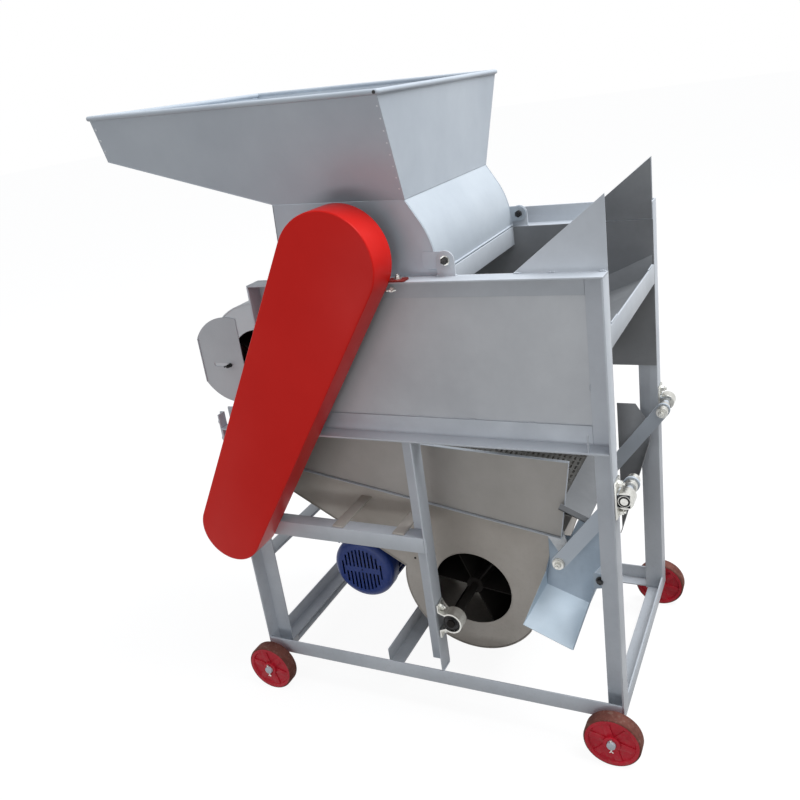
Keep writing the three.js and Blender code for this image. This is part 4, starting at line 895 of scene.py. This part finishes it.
motor_body = bmesh.new()
spun(motor_body, [(0, 38), (85.5, 38), (86, 40), (86, 46), (78, 48), (78, 250), (70, 254), (62, 258),
                  (60, 272), (46, 272), (44, 268), (14, 268), (14, 262), (0, 262)], 0, motor_front, 0, 64)
for i in range(fin_count):
    fin = bmesh.new()
    block(fin, -1.5, 1.5, motor_front + 43, 393, 0, 85, 0)
    joined(motor_body, fin, swung(0, 0, 2 * math.pi * (i + 0.5) / fin_count))
block(motor_body, -70, 70, feet_near, feet_far, 77, 89, 1.5)
for x in foot_places:
    block(motor_body, x - 6, x + 6, feet_near, feet_far, 0, 88, 1.0)
block(motor_body, -108, -60, feet_near, 331, -42, 42, 3)
block(motor_body, -111, -107, feet_near - 3, 334, -45, 45, 1.5)
bar(motor_body, (-90, 283, -42), (-90, 283, -54), 11, 24)
bar(motor_body, (-90, 283, -52), (-90, 283, -60), 13, 6)
for y in (238, 328):
    for z in (-39, 39):
        bar(motor_body, (-111, y, z), (-113, y, z), 3, 12)
for i in range(4):
    turn = math.radians(90 * i + 45)
    hexagon(motor_body, (52 * math.cos(turn), 422, 52 * math.sin(turn)), (0, 1, 0), 8, 5)
bmesh.ops.transform(motor_body, verts=motor_body.verts, matrix=swung(motor_x, motor_z, motor_slope))
finish_piece("motor_body", motor_body, motor_blue, "machine", ["motor"])

cooling_fan = bmesh.new()
for i in range(7):
    blade = bmesh.new()
    block(blade, 8, 60, 158, 182, -1, 1, 0)
    joined(cooling_fan, blade, swung(motor_x, motor_z, 2 * math.pi * i / 7))
spun(cooling_fan, [(0, 6), (16, 6), (18, 9), (18, 36), (0, 36)], motor_x, motor_front, motor_z, 32)
black_plastic = sprayed_paint("moulded_black_plastic", "#262628", "#1d1d1f", 0.5, 0.0, mottle_mm=50, dirt=0.2)
finish_piece("motor_cooling_fan", cooling_fan, black_plastic, "motor_spindle")


# Upper fan: a round case with a duct into the box, hung by ears on the panels, and a paddle fan. The case
# is silver outside; the fan and the bars across its eyes are bare steel given a near-black colour, which is
# painted shade in the case's dark eyes.
# Near-black steel for the fans: painted shade inside the fan cases, with dark dirt specks.
painted_shade_steel = sprayed_paint("painted_shade_fan_steel", "#201d1b", "#171513", 0.7, 0.0, mottle_mm=70, dirt=0.3,
                            dirt_hex="#332d28", shine=0.12)
# A lighter copy of the sheet paint for the upper fan case: painted light on sides that stand in shade.
lit_case_paint = sprayed_paint("painted_light_on_case", "#dee1e4", "#d0d4d8", 0.42, mottle_mm=200, dirt=0.15)
upper_x = -836
upper_z = 815
upper_radius = 150
upper_eye = 88
duct_x = -640
duct_top = 760
case_near = 60
case_far = width - case_near
fan_shaft = 10
fan_pulley = 22.5
rear_belt_y = 600
shaft_end_y = 620
stud_x = -934
stud_z = 812
duct_meets = math.degrees(math.asin((duct_top - upper_z) / upper_radius))
case_wrap = arc(upper_x, upper_z, upper_radius, 270, duct_meets, 64)
case_side = case_wrap + [(duct_x, duct_top), (duct_x, upper_z - upper_radius)]
upper_case = bmesh.new()
for y in (case_near, case_far - sheet_mm):
    extruded(upper_case, [case_side, arc(upper_x, upper_z, upper_eye, 0, 355, 71)], y, y + sheet_mm)
ribbon(upper_case, [(duct_x, upper_z - upper_radius + 1)]
       + arc(upper_x, upper_z, upper_radius - 1, 270, duct_meets, 64) + [(duct_x, duct_top - 1)],
       case_near, case_far, sheet_mm)
outward(upper_case)
for y, ear_y in ((case_near, case_near - 12.4), (case_far, case_far - sheet_mm)):
    wire(upper_case, arc(upper_x, upper_z, upper_radius - 0.4, 270, duct_meets, 48), y, 1.7)
    wire(upper_case, arc(upper_x, upper_z, upper_eye, 0, 360, 48), y, 1.4)
    block(upper_case, -750, -720, ear_y, ear_y + 14.4, 691, 736, 0.6)
finish_piece("upper_fan_case_sheets", upper_case, lit_case_paint, "machine", ["upper_fan_case"])

eye_bars = bmesh.new()
for y, out in ((case_near, -1), (case_far, 1)):
    y0, y1 = sorted((y, y - out * 4))
    block(eye_bars, upper_x - 12, upper_x + 12, y0, y1, 725, 905, 0.8)
    spun(eye_bars, [(10.3, out * 2), (11.6, out * 2), (12, out * -0.4), (26, out * -0.4), (26, out * -4),
                    (10.3, out * -4), (10.3, out * 2)], upper_x, y, upper_z, 40)
    for z in (upper_z - 84, upper_z + 84):
        bolted(eye_bars, (upper_x, y, z), (0, out, 0), 8, False)
bar(eye_bars, (stud_x, 44, stud_z), (stud_x, 62, stud_z), 4, 16)
finish_piece("upper_fan_eye_bars", eye_bars, painted_shade_steel, "machine")


def v_pulley(mesh, x, z, radius, y, hub=20):
    """A cast pulley with one V groove, and a thinned web if it is wide."""
    half = 7.5
    edge = 11
    webbed = 45
    if radius > webbed:
        face = [(0, -edge), (hub, -edge), (hub + 2, -edge + 2), (hub + 2, -4), (radius - 15, -4),
                (radius - 13, -edge)]
    else:
        face = [(0, -edge)]
    rim_points = [(radius - 1, -edge), (radius, -edge + 1), (radius, -half), (radius - 8, -5)]
    spun(mesh, mirrored(face + rim_points, False), x, y, z, 64)


def paddle_fan(mesh, x, z, tip, count, y0, y1, phase=0):
    """Flat blades welded along a tube."""
    for i in range(count):
        blade = bmesh.new()
        block(blade, 6, tip, y0, y1, -1.5, 1.5, 0.5)
        joined(mesh, blade, swung(x, z, math.radians(360 * i / count + phase)))
    half = (y1 - y0) / 2
    spun(mesh, mirrored([(0, -half - 2), (20, -half - 2), (22, -half)], False), x, (y0 + y1) / 2, z, 40)


upper_fan = bmesh.new()
paddle_fan(upper_fan, upper_x, upper_z, 135, 5, 75, width - 75)
bar(upper_fan, (upper_x, 52, upper_z), (upper_x, shaft_end_y, upper_z), fan_shaft, 32)
v_pulley(upper_fan, upper_x, upper_z, fan_pulley, rear_belt_y, 12)
finish_piece("upper_fan_paddles", upper_fan, painted_shade_steel, "upper_fan_rotor", ["upper_fan"])


# Air shutter: a round-edged plate slotted over a stud, with its left edge folded out as a handle and a
# wing nut to lock it. Same silver as the sheet.
shutter_x = -925
shutter_z = 823
shutter_radius = 110
shutter_left = -1018
shutter_right = -893
slot_travel = 45
slot_round = 4.6
shutter_face = 57.7
shutter_back = 59.7
fold_out = 3
reach_left = math.degrees(math.acos((shutter_left - shutter_x) / shutter_radius))
reach_right = math.degrees(math.acos((shutter_right - shutter_x) / shutter_radius))
shutter_outline = (arc(shutter_x, shutter_z, shutter_radius, reach_right, reach_left, 24)
                   + arc(shutter_x, shutter_z, shutter_radius, -reach_left, -reach_right, 24))
slot_outline = (arc(stud_x - slot_travel, stud_z, slot_round, 90, 270, 10)
                + arc(stud_x, stud_z, slot_round, -90, 90, 10))
shutter = bmesh.new()
extruded(shutter, [shutter_outline, slot_outline], shutter_face, shutter_back)
outward(shutter)
fold_half = math.sqrt(shutter_radius ** 2 - (shutter_left - shutter_x) ** 2) - 2
block(shutter, shutter_left, shutter_left + 2, shutter_face - fold_out, shutter_back,
      shutter_z - fold_half, shutter_z + fold_half, 0.6)
finish_piece("shutter_plate", shutter, sheet_paint, "shutter", ["air_shutter"])
shutter_nut = bmesh.new()
wing_nut(shutter_nut, (stud_x, 57.2, stud_z), (0, -1, 0), 10)
finish_piece("shutter_wing_nut", shutter_nut, black_steel, "machine")


# Lower fan: a scroll case whose trunk leads up under the sieve, lapped at its edges, laid on two flat
# bearers on the rails, with a thicker plate on its slope for the motor. Its silver paint is dulled by dust.
trunk_paint = sprayed_paint("dusty_silver_on_trunk", "#c3bdb5", "#aca59c", 0.5, mottle_mm=220,
                            dirt_hex="#7d7064", dirt=0.45)
lower_x = -404
lower_z = 183
trunk_near = 157
trunk_far = width - trunk_near
lower_eye = 104
motor_belt_y = 470
lower_pulley = 50
motor_pulley_radius = 40
scroll_start = 167.02
scroll_end = 324
scroll_radius = 187
scroll_shrink = 9
slope_top = (-770, 336)
slope_end = (-590, 225)
scroll_steps = 56
scroll = []
for i in range(scroll_steps + 1):
    share = i / scroll_steps
    turn = math.radians(scroll_start + (scroll_end - scroll_start) * share)
    radius = scroll_radius - scroll_shrink * share
    scroll.append((lower_x + radius * math.cos(turn), lower_z + radius * math.sin(turn)))
trunk_outline = [(-906, 501.2), (-906, 417), slope_top] + scroll + [(-167, 357), (-167, 372.3)]
trunk = bmesh.new()
sight_hole = arc(-557, 251, 3.5, 0, 330, 11)
for y in (trunk_near, trunk_far - sheet_mm):
    holes = [arc(lower_x, lower_z, lower_eye, 0, 355, 71)]
    if y == trunk_near:
        holes.append(sight_hole)
    extruded(trunk, [trunk_outline] + holes, y, y + sheet_mm)
inner_wrap = [(x + (1 if x < -800 else 0), z + 0.8) for x, z in trunk_outline]
ribbon(trunk, inner_wrap, trunk_near, trunk_far, sheet_mm)
outward(trunk)
for y in (trunk_near, trunk_far):
    wire(trunk, trunk_outline[1:], y, 1.5)
    wire(trunk, arc(lower_x, lower_z, lower_eye, 0, 360, 60), y, 1.4)
finish_piece("trunk_sheets", trunk, trunk_paint, "machine", ["lower_fan_case"])
motor_rail_top = 416.3
bearer_wide = 30
bearer_thick = 5
bearers = bmesh.new()
for x in (-687.5, -523.5):
    block(bearers, x, x + bearer_wide, 4, width - 4, motor_rail_top, motor_rail_top + bearer_thick, 0.6)
finish_piece("trunk_bearers", bearers, trunk_paint, "machine")

along_x = slope_end[0] - slope_top[0]
along_z = slope_end[1] - slope_top[1]
slope_long = math.hypot(along_x, along_z)
to_motor = ((motor_x - slope_top[0]) * along_x + (motor_z - slope_top[1]) * along_z) / slope_long
foot_x = slope_top[0] + along_x / slope_long * to_motor
foot_z = slope_top[1] + along_z / slope_long * to_motor
plate_half = 90
foot_top = -17
motor_plate = bmesh.new()
block(motor_plate, -plate_half, plate_half, trunk_near + 8, trunk_far - 8, -5, 0.5, 1.0)
for x in foot_places:
    for y in (feet_near + 20, feet_far - 20):
        bolted(motor_plate, (x, y, foot_top), (0, 0, -1), 13, True, 8)
bmesh.ops.transform(motor_plate, verts=motor_plate.verts, matrix=swung(foot_x, foot_z, motor_slope))
finish_piece("motor_mounting_plate", motor_plate, silver_paint, "machine")

# The lower fan's paddles take the same near-black painted shade.
lower_fan = bmesh.new()
paddle_fan(lower_fan, lower_x, lower_z, 140, 6, 172, width - 172, 8)
bar(lower_fan, (lower_x, 4, lower_z), (lower_x, shaft_end_y, lower_z), fan_shaft, 32)
v_pulley(lower_fan, lower_x, lower_z, fan_pulley, rear_belt_y, 12)
v_pulley(lower_fan, lower_x, lower_z, lower_pulley, motor_belt_y)
finish_piece("lower_fan_paddles", lower_fan, painted_shade_steel, "lower_fan_rotor", ["lower_fan"])

motor_pulley = bmesh.new()
v_pulley(motor_pulley, motor_x, motor_z, motor_pulley_radius, motor_belt_y)
bar(motor_pulley, (motor_x, 398, motor_z), (motor_x, 482, motor_z), 12, 32)
turned_steel = plated_metal("turned_steel", "#b4b4b2", "#9b9a97", 0.34, 4, dirt=0.4)
finish_piece("motor_spindle_pulley", motor_pulley, turned_steel, "motor_spindle", ["motor_pulley"])


# Fan bearings: a steel strap bent into a P round a ball bearing and bolted to the middle post. The strap
# is bright zinc, the bearing's seal dark.
strap_x = -436.7
strap_thick = 4
bearing_near = 6
bearing_long = 33
strap_line = ([(strap_x, 229), (strap_x, 208)] + arc(lower_x, lower_z, 23, 130, -130, 36)
              + [(strap_x, 158), (strap_x, 137)])
bearing_places = (("front", bearing_near), ("rear", width - bearing_near - bearing_long))
for row, y0 in bearing_places:
    y1 = y0 + bearing_long
    strap = bmesh.new()
    ribbon(strap, strap_line, y0, y1, strap_thick)
    outward(strap)
    for z in (216, 150):
        bolted(strap, (strap_x + strap_thick, (y0 + y1) / 2, z), (1, 0, 0), 13, True, 4)
    finish_piece("bearing_strap_" + row, strap, zinc_plate, "machine", ["fan_bearing_" + row])
    insert = bmesh.new()
    half = bearing_long / 2 - 2
    spun(insert, mirrored([(10.3, -half), (14, -half), (14.5, -half + 2), (19, -half + 2), (20.5, -half),
                           (21, -half + 1)]), lower_x, (y0 + y1) / 2, lower_z, 40)
    finish_piece("bearing_insert_" + row, insert, black_steel, "machine")


# Pillow blocks and the drum's grid: sand cast iron, lightly machined on the faces, oily and dusty, so it
# looks dull grey with a coarse skin.
cast_iron = sprayed_paint("sand_cast_iron", "#8b8f92", "#777b7e", 0.58, 0.35, mottle_mm=40, grain_mm=1.6,
                          dirt=0.4, peel_strength=0.35)
crank_x = -902
crank_z = 449
grid_out = 137
grid_in = 125
grid_rods = 23
grid_rod_radius = 4
grid_start = -165
grid_end = -15


def pillow_block(name, x, z, foot, half, housing, shaft, y0, y1):
    """A cast foot and housing round a shaft, with its bearing, two bolts and a grease nipple."""
    cast = bmesh.new()
    outline = ([(x - half, foot), (x + half, foot), (x + half, foot + 10), (x + half - 8, foot + 13)]
               + arc(x, z, housing, -28, 208, 32) + [(x - half + 8, foot + 13), (x - half, foot + 10)])
    extruded(cast, [outline, arc(x, z, housing * 0.72, 0, 350, 35)], y0, y1)
    outward(cast)
    soften(cast, 1.4, 2, 40)
    finish_piece("cast_" + name, cast, cast_iron, "machine", [name])
    fittings = bmesh.new()
    middle = (y0 + y1) / 2
    grip = (y1 - y0) / 2 - 1
    spun(fittings, mirrored([(shaft + 0.3, -grip - 2), (shaft + 5, -grip - 2), (shaft + 6, -grip + 1),
                             (housing * 0.71, -grip + 1)]), x, middle, z, 40)
    for side in (-1, 1):
        bolted(fittings, (x + side * (half - 13), middle, foot + 12), (0, 0, 1), 13, True, 5)
    bar(fittings, (x, middle, z + housing - 1), (x, middle, z + housing + 6), 3.2, 6, 2)
    finish_piece("fittings_" + name, fittings, zinc_plate, "machine")


for row, y0 in bearing_places:
    pillow_block("rotor_bearing_" + row, drum_x, drum_z, cover_foot, 68, 34, 15, y0, y0 + bearing_long)
pillow_block("crank_bearing", crank_x, crank_z, motor_rail_top, 50, 25, 10,
             bearing_near, bearing_near + bearing_long)

grid = bmesh.new()
for y in (47.7, 282.5, 517.3):
    extruded(grid, [arc(drum_x, drum_z, grid_out, grid_start, grid_end, 48)
                    + arc(drum_x, drum_z, grid_in, grid_end, grid_start, 48)], y, y + 4)
outward(grid)
for i in range(grid_rods):
    turn = math.radians(grid_start + (grid_end - grid_start) * (i + 0.5) / grid_rods)
    x = drum_x + (grid_out + grid_in) / 2 * math.cos(turn)
    z = drum_z + (grid_out + grid_in) / 2 * math.sin(turn)
    bar(grid, (x, 49, z), (x, 520, z), grid_rod_radius, 12)
finish_piece("cast_concave_grid", grid, cast_iron, "machine", ["concave_grid"])


# Drum: a turned shaft with three discs, six welded beater bars and cast pulleys at both ends. The crank has
# a shaft, an eccentric disc and a pulley. All are bare steel, polished by peanuts where they rub.
front_belt_y = -46
shaft_near_y = -66
drum_front_pulley = 60
drum_rear_pulley = 90
crank_pulley = 55
drum_shaft = 15
disc_radius = 98
beater_count = 6
beater_orbit = 92
beater_radius = 8
throw = 4
beater = bmesh.new()
bar(beater, (drum_x, shaft_near_y, drum_z), (drum_x, shaft_end_y, drum_z), drum_shaft, 40)
for y in (64.3, 284.5, 504.7):
    spun(beater, mirrored([(drum_shaft, -3), (disc_radius, -3)]), drum_x, y, drum_z, 64)
for i in range(beater_count):
    turn = 2 * math.pi * i / beater_count
    x = drum_x + beater_orbit * math.cos(turn)
    z = drum_z + beater_orbit * math.sin(turn)
    bar(beater, (x, 59.5, z), (x, 509.5, z), beater_radius, 20)
v_pulley(beater, drum_x, drum_z, drum_front_pulley, front_belt_y, 26)
v_pulley(beater, drum_x, drum_z, drum_rear_pulley, rear_belt_y, 30)
finish_piece("beater_drum", beater, turned_steel, "beater", ["rotor"])

crank = bmesh.new()
bar(crank, (crank_x, shaft_near_y, crank_z), (crank_x, 68, crank_z), 10, 32)
spun(crank, mirrored([(0, -7), (17.5, -7), (18, -6.5)], False), crank_x + throw, 57, crank_z, 40)
v_pulley(crank, crank_x, crank_z, crank_pulley, front_belt_y, 20)
finish_piece("crank_shaft_pulley", crank, turned_steel, "crank", ["crank_shaft"])


# Sieve: a box of painted sheet with folded lips and a side trough, a punched screen, and galvanised hanger
# plates and pins, shaken by a flat steel rod. Galvanising shows fine spangles and a cool dull shine.
galvanised = plated_metal("galvanised_sheet", "#bfc1c3", "#b2b4b6", 0.46, 9, metallic=0.45, dirt=0.2,
                          dirt_hex="#7d776c")
sieve_paint = sprayed_paint("grey_paint_on_sieve", "#b9b5b0", "#a5a19b", 0.48, mottle_mm=240,
                            dirt_hex="#7d7268", dirt=0.35)
seam_left = (-842, 500)
seam_right = (-154, 380)
sieve_near = 130
sieve_far = width - sieve_near
sieve_left = -880
lip_thick = 1.6
trough_near = 112
trough_left = (-152, 465)
trough_right = (-88, 435)
pin_x = -836
pin_z = 524
rocker_tops = (("right", 19, 559), ("left", -785, 640))
rocker_run = -169
rocker_drop = -216
sieve_pins = [(x + rocker_run, z + rocker_drop) for end, x, z in rocker_tops]


def seam_at(x):
    return seam_left[1] + (seam_right[1] - seam_left[1]) * (x - seam_left[0]) / (seam_right[0] - seam_left[0])


cheek = [(sieve_left, seam_at(sieve_left)), seam_right, (-124, 578), (-404, 593), (sieve_left, 622)]
sieve = bmesh.new()
for y in (sieve_near, sieve_far - sheet_mm):
    extruded(sieve, [cheek], y, y + sheet_mm)
ribbon(sieve, [(sieve_left, seam_at(sieve_left) + 1), (seam_right[0], seam_right[1] + 1)],
       sieve_near, sieve_far, sheet_mm)
ribbon(sieve, [(sieve_left + 1, seam_at(sieve_left)), (sieve_left + 1, 622)], sieve_near, sieve_far, sheet_mm)
outward(sieve)
lips = bmesh.new()
for y, out in ((sieve_near, -1), (sieve_far, 1)):
    for start, end, lip_wide in ((cheek[4], cheek[3], 9), (cheek[3], cheek[2], 9),
                                 ((-878, seam_at(-878) + 1), (seam_right[0], seam_right[1] + 1), 8),
                                 (seam_right, cheek[2], 6)):
        flat_strip(lips, (start[0], y, start[1]), (end[0], y, end[1]), (0, out, 0), lip_wide, lip_thick)
hangers = bmesh.new()
for y in (sieve_near + 2.5, sieve_far - 6.5):
    for (x, z), (root_x, root_z) in zip(sieve_pins, ((-176, 402), (-858, 522))):
        plate = bmesh.new()
        extruded(plate, [wrapped([(x, z, 14), (root_x, root_z, 22)], 64)], y, y + 4)
        outward(plate)
        joined(hangers, plate)
for y0, y1 in ((75, 136), (width - 136, width - 75)):
    for x, z in sieve_pins:
        bar(hangers, (x, y0, z), (x, y1, z), 8, 24)
bar(hangers, (pin_x, 46, pin_z), (pin_x, 132, pin_z), 7, 24)
trough = bmesh.new()
ribbon(trough, [trough_left, trough_right], trough_near, sieve_far, sheet_mm)
lip_way = Vector((30, 64)).normalized() * 16
lip_ends = [(x + lip_way.x, z + lip_way.y) for x, z in (trough_right, trough_left)]
trough_wall = bmesh.new()
extruded(trough_wall, [[trough_left, trough_right] + lip_ends], trough_near, trough_near + sheet_mm)
outward(trough_wall)
joined(trough, trough_wall)
finish_piece("sieve_sheets", sieve, sieve_paint, "sieve", ["sieve_box"])
# The trough takes the darker sheet paint, which is painted shade as well as dust.
finish_piece("sieve_trough", trough, shade_and_dust_sheet_paint, "sieve")
finish_piece("sieve_folded_lips", lips, silver_paint, "sieve")
finish_piece("sieve_hangers", hangers, galvanised, "sieve")

screen = bmesh.new()
screen_left = -878
screen_right = -124
slots_along = 58
slots_across = 13
slot_web = 0.0036
screen_thick = 0.0015
screen_rise = 63
bmesh.ops.create_grid(screen, x_segments=slots_along, y_segments=slots_across, size=0.5)
slot_faces = list(screen.faces)
bmesh.ops.transform(screen, verts=screen.verts, matrix=Matrix.Diagonal((
    (screen_right - screen_left) / 1000, (sieve_far - sieve_near - 4) / 1000, 1, 1)))
bmesh.ops.inset_individual(screen, faces=slot_faces, thickness=slot_web, use_even_offset=True)
bmesh.ops.delete(screen, geom=slot_faces, context="FACES")
screen_drop = seam_at(screen_right) - seam_at(screen_left)
tilt = math.atan2(-screen_drop, screen_right - screen_left)
middle_x = (screen_left + screen_right) / 2
bmesh.ops.transform(screen, verts=screen.verts,
                    matrix=Matrix.Translation(at(middle_x, width / 2, seam_at(middle_x) + screen_rise))
                    @ Matrix.Rotation(tilt, 4, "Y"))
bmesh.ops.solidify(screen, geom=screen.faces, thickness=screen_thick)
# The screen's darker grey is painted shade inside the sieve box as well as dust.
screen_steel = plated_metal("painted_shade_and_dust_screen", "#8b8a87", "#7f7d7a", 0.5, 9, metallic=0.4, dirt=0.3,
                            dirt_hex="#63594d")
finish_piece("sieve_screen", screen, screen_steel, "sieve")

rod = bmesh.new()
extruded(rod, [arc(crank_x, crank_z, 35.5, 0, 354, 59), arc(crank_x, crank_z, 26.5, 0, 354, 59)], 51, 63)
extruded(rod, [arc(pin_x, pin_z, 14, 0, 350, 35), arc(pin_x, pin_z, 7.3, 0, 350, 35)], 51, 63)
rod_long = math.hypot(pin_x - crank_x, pin_z - crank_z)
way_x = (pin_x - crank_x) / rod_long
way_z = (pin_z - crank_z) / rod_long
flat_strip(rod, (crank_x + way_x * 34 + way_z * 10, 57, crank_z + way_z * 34 - way_x * 10),
           (pin_x - way_x * 12 + way_z * 10, 57, pin_z - way_z * 12 - way_x * 10),
           (-way_z, 0, way_x), 20, 11.6)
outward(rod)
soften(rod, 0.7, 2, 50)
finish_piece("sieve_link", rod, turned_steel, "sieve", ["sieve_rod"])


# Rockers: flat silver painted arms with a ribbed zinc plated bush at each end, hung on pins at the frame and
# holding the sieve's pins, with washers and nuts outside. Black rubber seals close the front and rear pivots.
for row in ("front", "rear"):
    for end, x, z in rocker_tops:
        name = "rocker_" + row + "_" + end
        low_x = x + rocker_run
        low_z = z + rocker_drop

        def span(near, far):
            return (near, far) if row == "front" else (width - far, width - near)

        arm = bmesh.new()
        y0, y1 = span(82, 88)
        extruded(arm, [wrapped([(x, z, 17), (low_x, low_z, 17)], 72), arc(x, z, 8.3, 0, 350, 35),
                       arc(low_x, low_z, 8.5, 0, 350, 35)], y0, y1)
        outward(arm)
        finish_piece(name + "_arm", arm, hopper_paint, name, [name])
        bushes = bmesh.new()
        for place_x, place_z, bore, near, far in ((x, z, 8.3, 65, 108), (low_x, low_z, 8.5, 75.3, 100)):
            y0, y1 = span(near, far)
            half = (y1 - y0) / 2
            rings = [(bore, -half)]
            for step in range(4):
                y = -half + step * half / 2
                rings += [(13.2, y), (14, y + 0.8), (14, y + half / 2 - 1.6), (13.2, y + half / 2 - 0.8)]
            spun(bushes, rings + [(13.2, half), (bore, half), (bore, -half)],
                 place_x, (y0 + y1) / 2, place_z, 40)
        finish_piece(name + "_bushes", bushes, zinc_plate, name)

pivots = bmesh.new()
sieve_ends = bmesh.new()
pivot_x, pivot_z = rocker_tops[0][1:]
for way in (-1, 1):
    def out(y):
        return y if way < 0 else width - y

    y0, y1 = sorted((out(8), out(38)))
    spun(pivots, [(0, -17), (9, -17), (9, -16), (13, -16), (13, -15), (18.4, -15), (19.4, -14), (19.4, 14),
                  (18.4, 15), (9, 15), (9, 17), (0, 17)], pivot_x, (y0 + y1) / 2, pivot_z, 40)
    y0, y1 = sorted((out(3), out(42)))
    block(pivots, 0.2, 5, y0, y1, 517, 601, 1.2)
    for z in (527, 591):
        bolted(pivots, (5, (y0 + y1) / 2, z), (1, 0, 0), 13, True, 4)
    for end, x, z in rocker_tops:
        bar(pivots, (x, out(108), z), (x, out(110.5), z), 12, 24)
        bolted(pivots, (x, out(110.5), z), (0, -way, 0), 13, False, 5)
    bolted(pivots, (-785, out(30), 640), (0, way, 0), 15, True, 0)
    for x, z in sieve_pins:
        bar(sieve_ends, (x, out(73), z), (x, out(75), z), 12.5, 24)
        bolted(sieve_ends, (x, out(73), z), (0, way, 0), 13, False, 4)
finish_piece("pivot_housings", pivots, zinc_plate, "machine")
finish_piece("sieve_pin_nuts", sieve_ends, zinc_plate, "sieve")
pivot_seals = bmesh.new()
for y, way in ((7.6, -1), (width - 7.6, 1)):
    spun(pivot_seals, mirrored([(8, -0.6), (11.5, -0.6)]), pivot_x, y + way, pivot_z, 32)
rubber = sprayed_paint("black_belt_rubber", "#232323", "#2e2c2b", 0.7, 0.0, mottle_mm=20, dirt=0.4, shine=0.3)
finish_piece("pivot_seals", pivot_seals, rubber, "machine")


# Kernel chute: one sheet folded up at its sides and back, with an ear bolted to the right leg. Its coat is
# bluer than the hopper's, and the back and walls take a darker copy of it, which is painted shade.
chute_paint = sprayed_paint("blue_white_paint_on_chute", "#d3e0ea", "#c5d4df", 0.36, mottle_mm=120, dirt=0.1)
chute_points = [
    (-218, 0, 221), (-108, 0, 174), (-96, 120, 219), (-194, 120, 256), (-194, 154, 372), (-140, 154, 372),
    (-120, 154, 416), (-84, 154, 416), (-68, 154, 430), (-68, 154, 480), (-50, 154, 480), (-50, 154, 330),
    (-96, 154, 309), (-194, 154, 309), (-194, 120, 290), (-64, 47, 312), (-33, 47, 318), (-33, 47, 352),
    (-64, 47, 352),
]
chute_floor = [(0, 1, 2, 3), (0, 3, 14)]
chute_back = [(3, 2, 12, 13), (13, 12, 11, 10, 9, 8, 7, 6, 5, 4), (2, 11, 12), (1, 15, 2), (2, 15, 11),
              (15, 18, 11), (15, 16, 17, 18), (3, 13, 14)]
# A darker copy of the chute's coat for its back and walls: painted shade, with dust specks over it.
painted_shade_chute_paint = sprayed_paint("painted_shade_blue_paint_on_chute", "#aebbc7", "#9aa8b5", 0.5, mottle_mm=90,
                             dirt_hex="#7f848a", dirt=0.4)
for name, loops, coat in (("chute_floor", chute_floor, chute_paint),
                          ("chute_back", chute_back, painted_shade_chute_paint)):
    chute = bmesh.new()
    faces_from(chute, chute_points, loops)
    outward(chute)
    bmesh.ops.solidify(chute, geom=chute.faces, thickness=sheet_mm / 1000)
    finish_piece(name, chute, coat, "machine", ["kernel_chute"])
dark_bolts = bmesh.new()
bolted(dark_bolts, (-48, 45.2, 336), (0, -1, 0), 12, True)
finish_piece("chute_bolt", dark_bolts, black_steel, "machine")

bracket_low = 615
bracket_high = 700
side_bracket = bmesh.new()
block(side_bracket, -963, -959.2, 2, 27, bracket_low, bracket_high)
block(side_bracket, -972, -960, 23, 27, bracket_low, bracket_high)
for z in (634, 678):
    bolted(side_bracket, (-963, 13, z), (-1, 0, 0), 10, True)
finish_piece("side_bracket", side_bracket, silver_paint, "machine")


# Belts: moulded rubber V belts running in the grooves, dull black with a dusty back.
belt_section = ((2.2, 6.0), (2.2, -6.0), (-7.4, -4.4), (-7.4, 4.4))


def v_belt(circles, y, name):
    """A belt round pulleys: its section's corners are distances past their rims, and to each side."""
    band = bmesh.new()
    loops = []
    for grow, half in belt_section:
        outline = wrapped([(x, z, radius + grow) for x, z, radius in circles], 144)
        ring = [band.verts.new(at(px, y + half, pz)) for px, pz in outline]
        loops.append([band.edges.new((ring[i - 1], ring[i])) for i in range(len(ring))])
    for i, loop in enumerate(loops):
        bmesh.ops.bridge_loops(band, edges=loop + loops[(i + 1) % len(loops)])
    outward(band)
    finish_piece("rubber_" + name, band, rubber, "machine", [name])


v_belt([(drum_x, drum_z, drum_front_pulley), (crank_x, crank_z, crank_pulley)], front_belt_y, "belt_front")
v_belt([(drum_x, drum_z, drum_rear_pulley), (lower_x, lower_z, fan_pulley), (upper_x, upper_z, fan_pulley)],
       rear_belt_y, "belt_rear")
v_belt([(motor_x, motor_z, motor_pulley_radius), (lower_x, lower_z, lower_pulley)],
       motor_belt_y, "belt_motor")
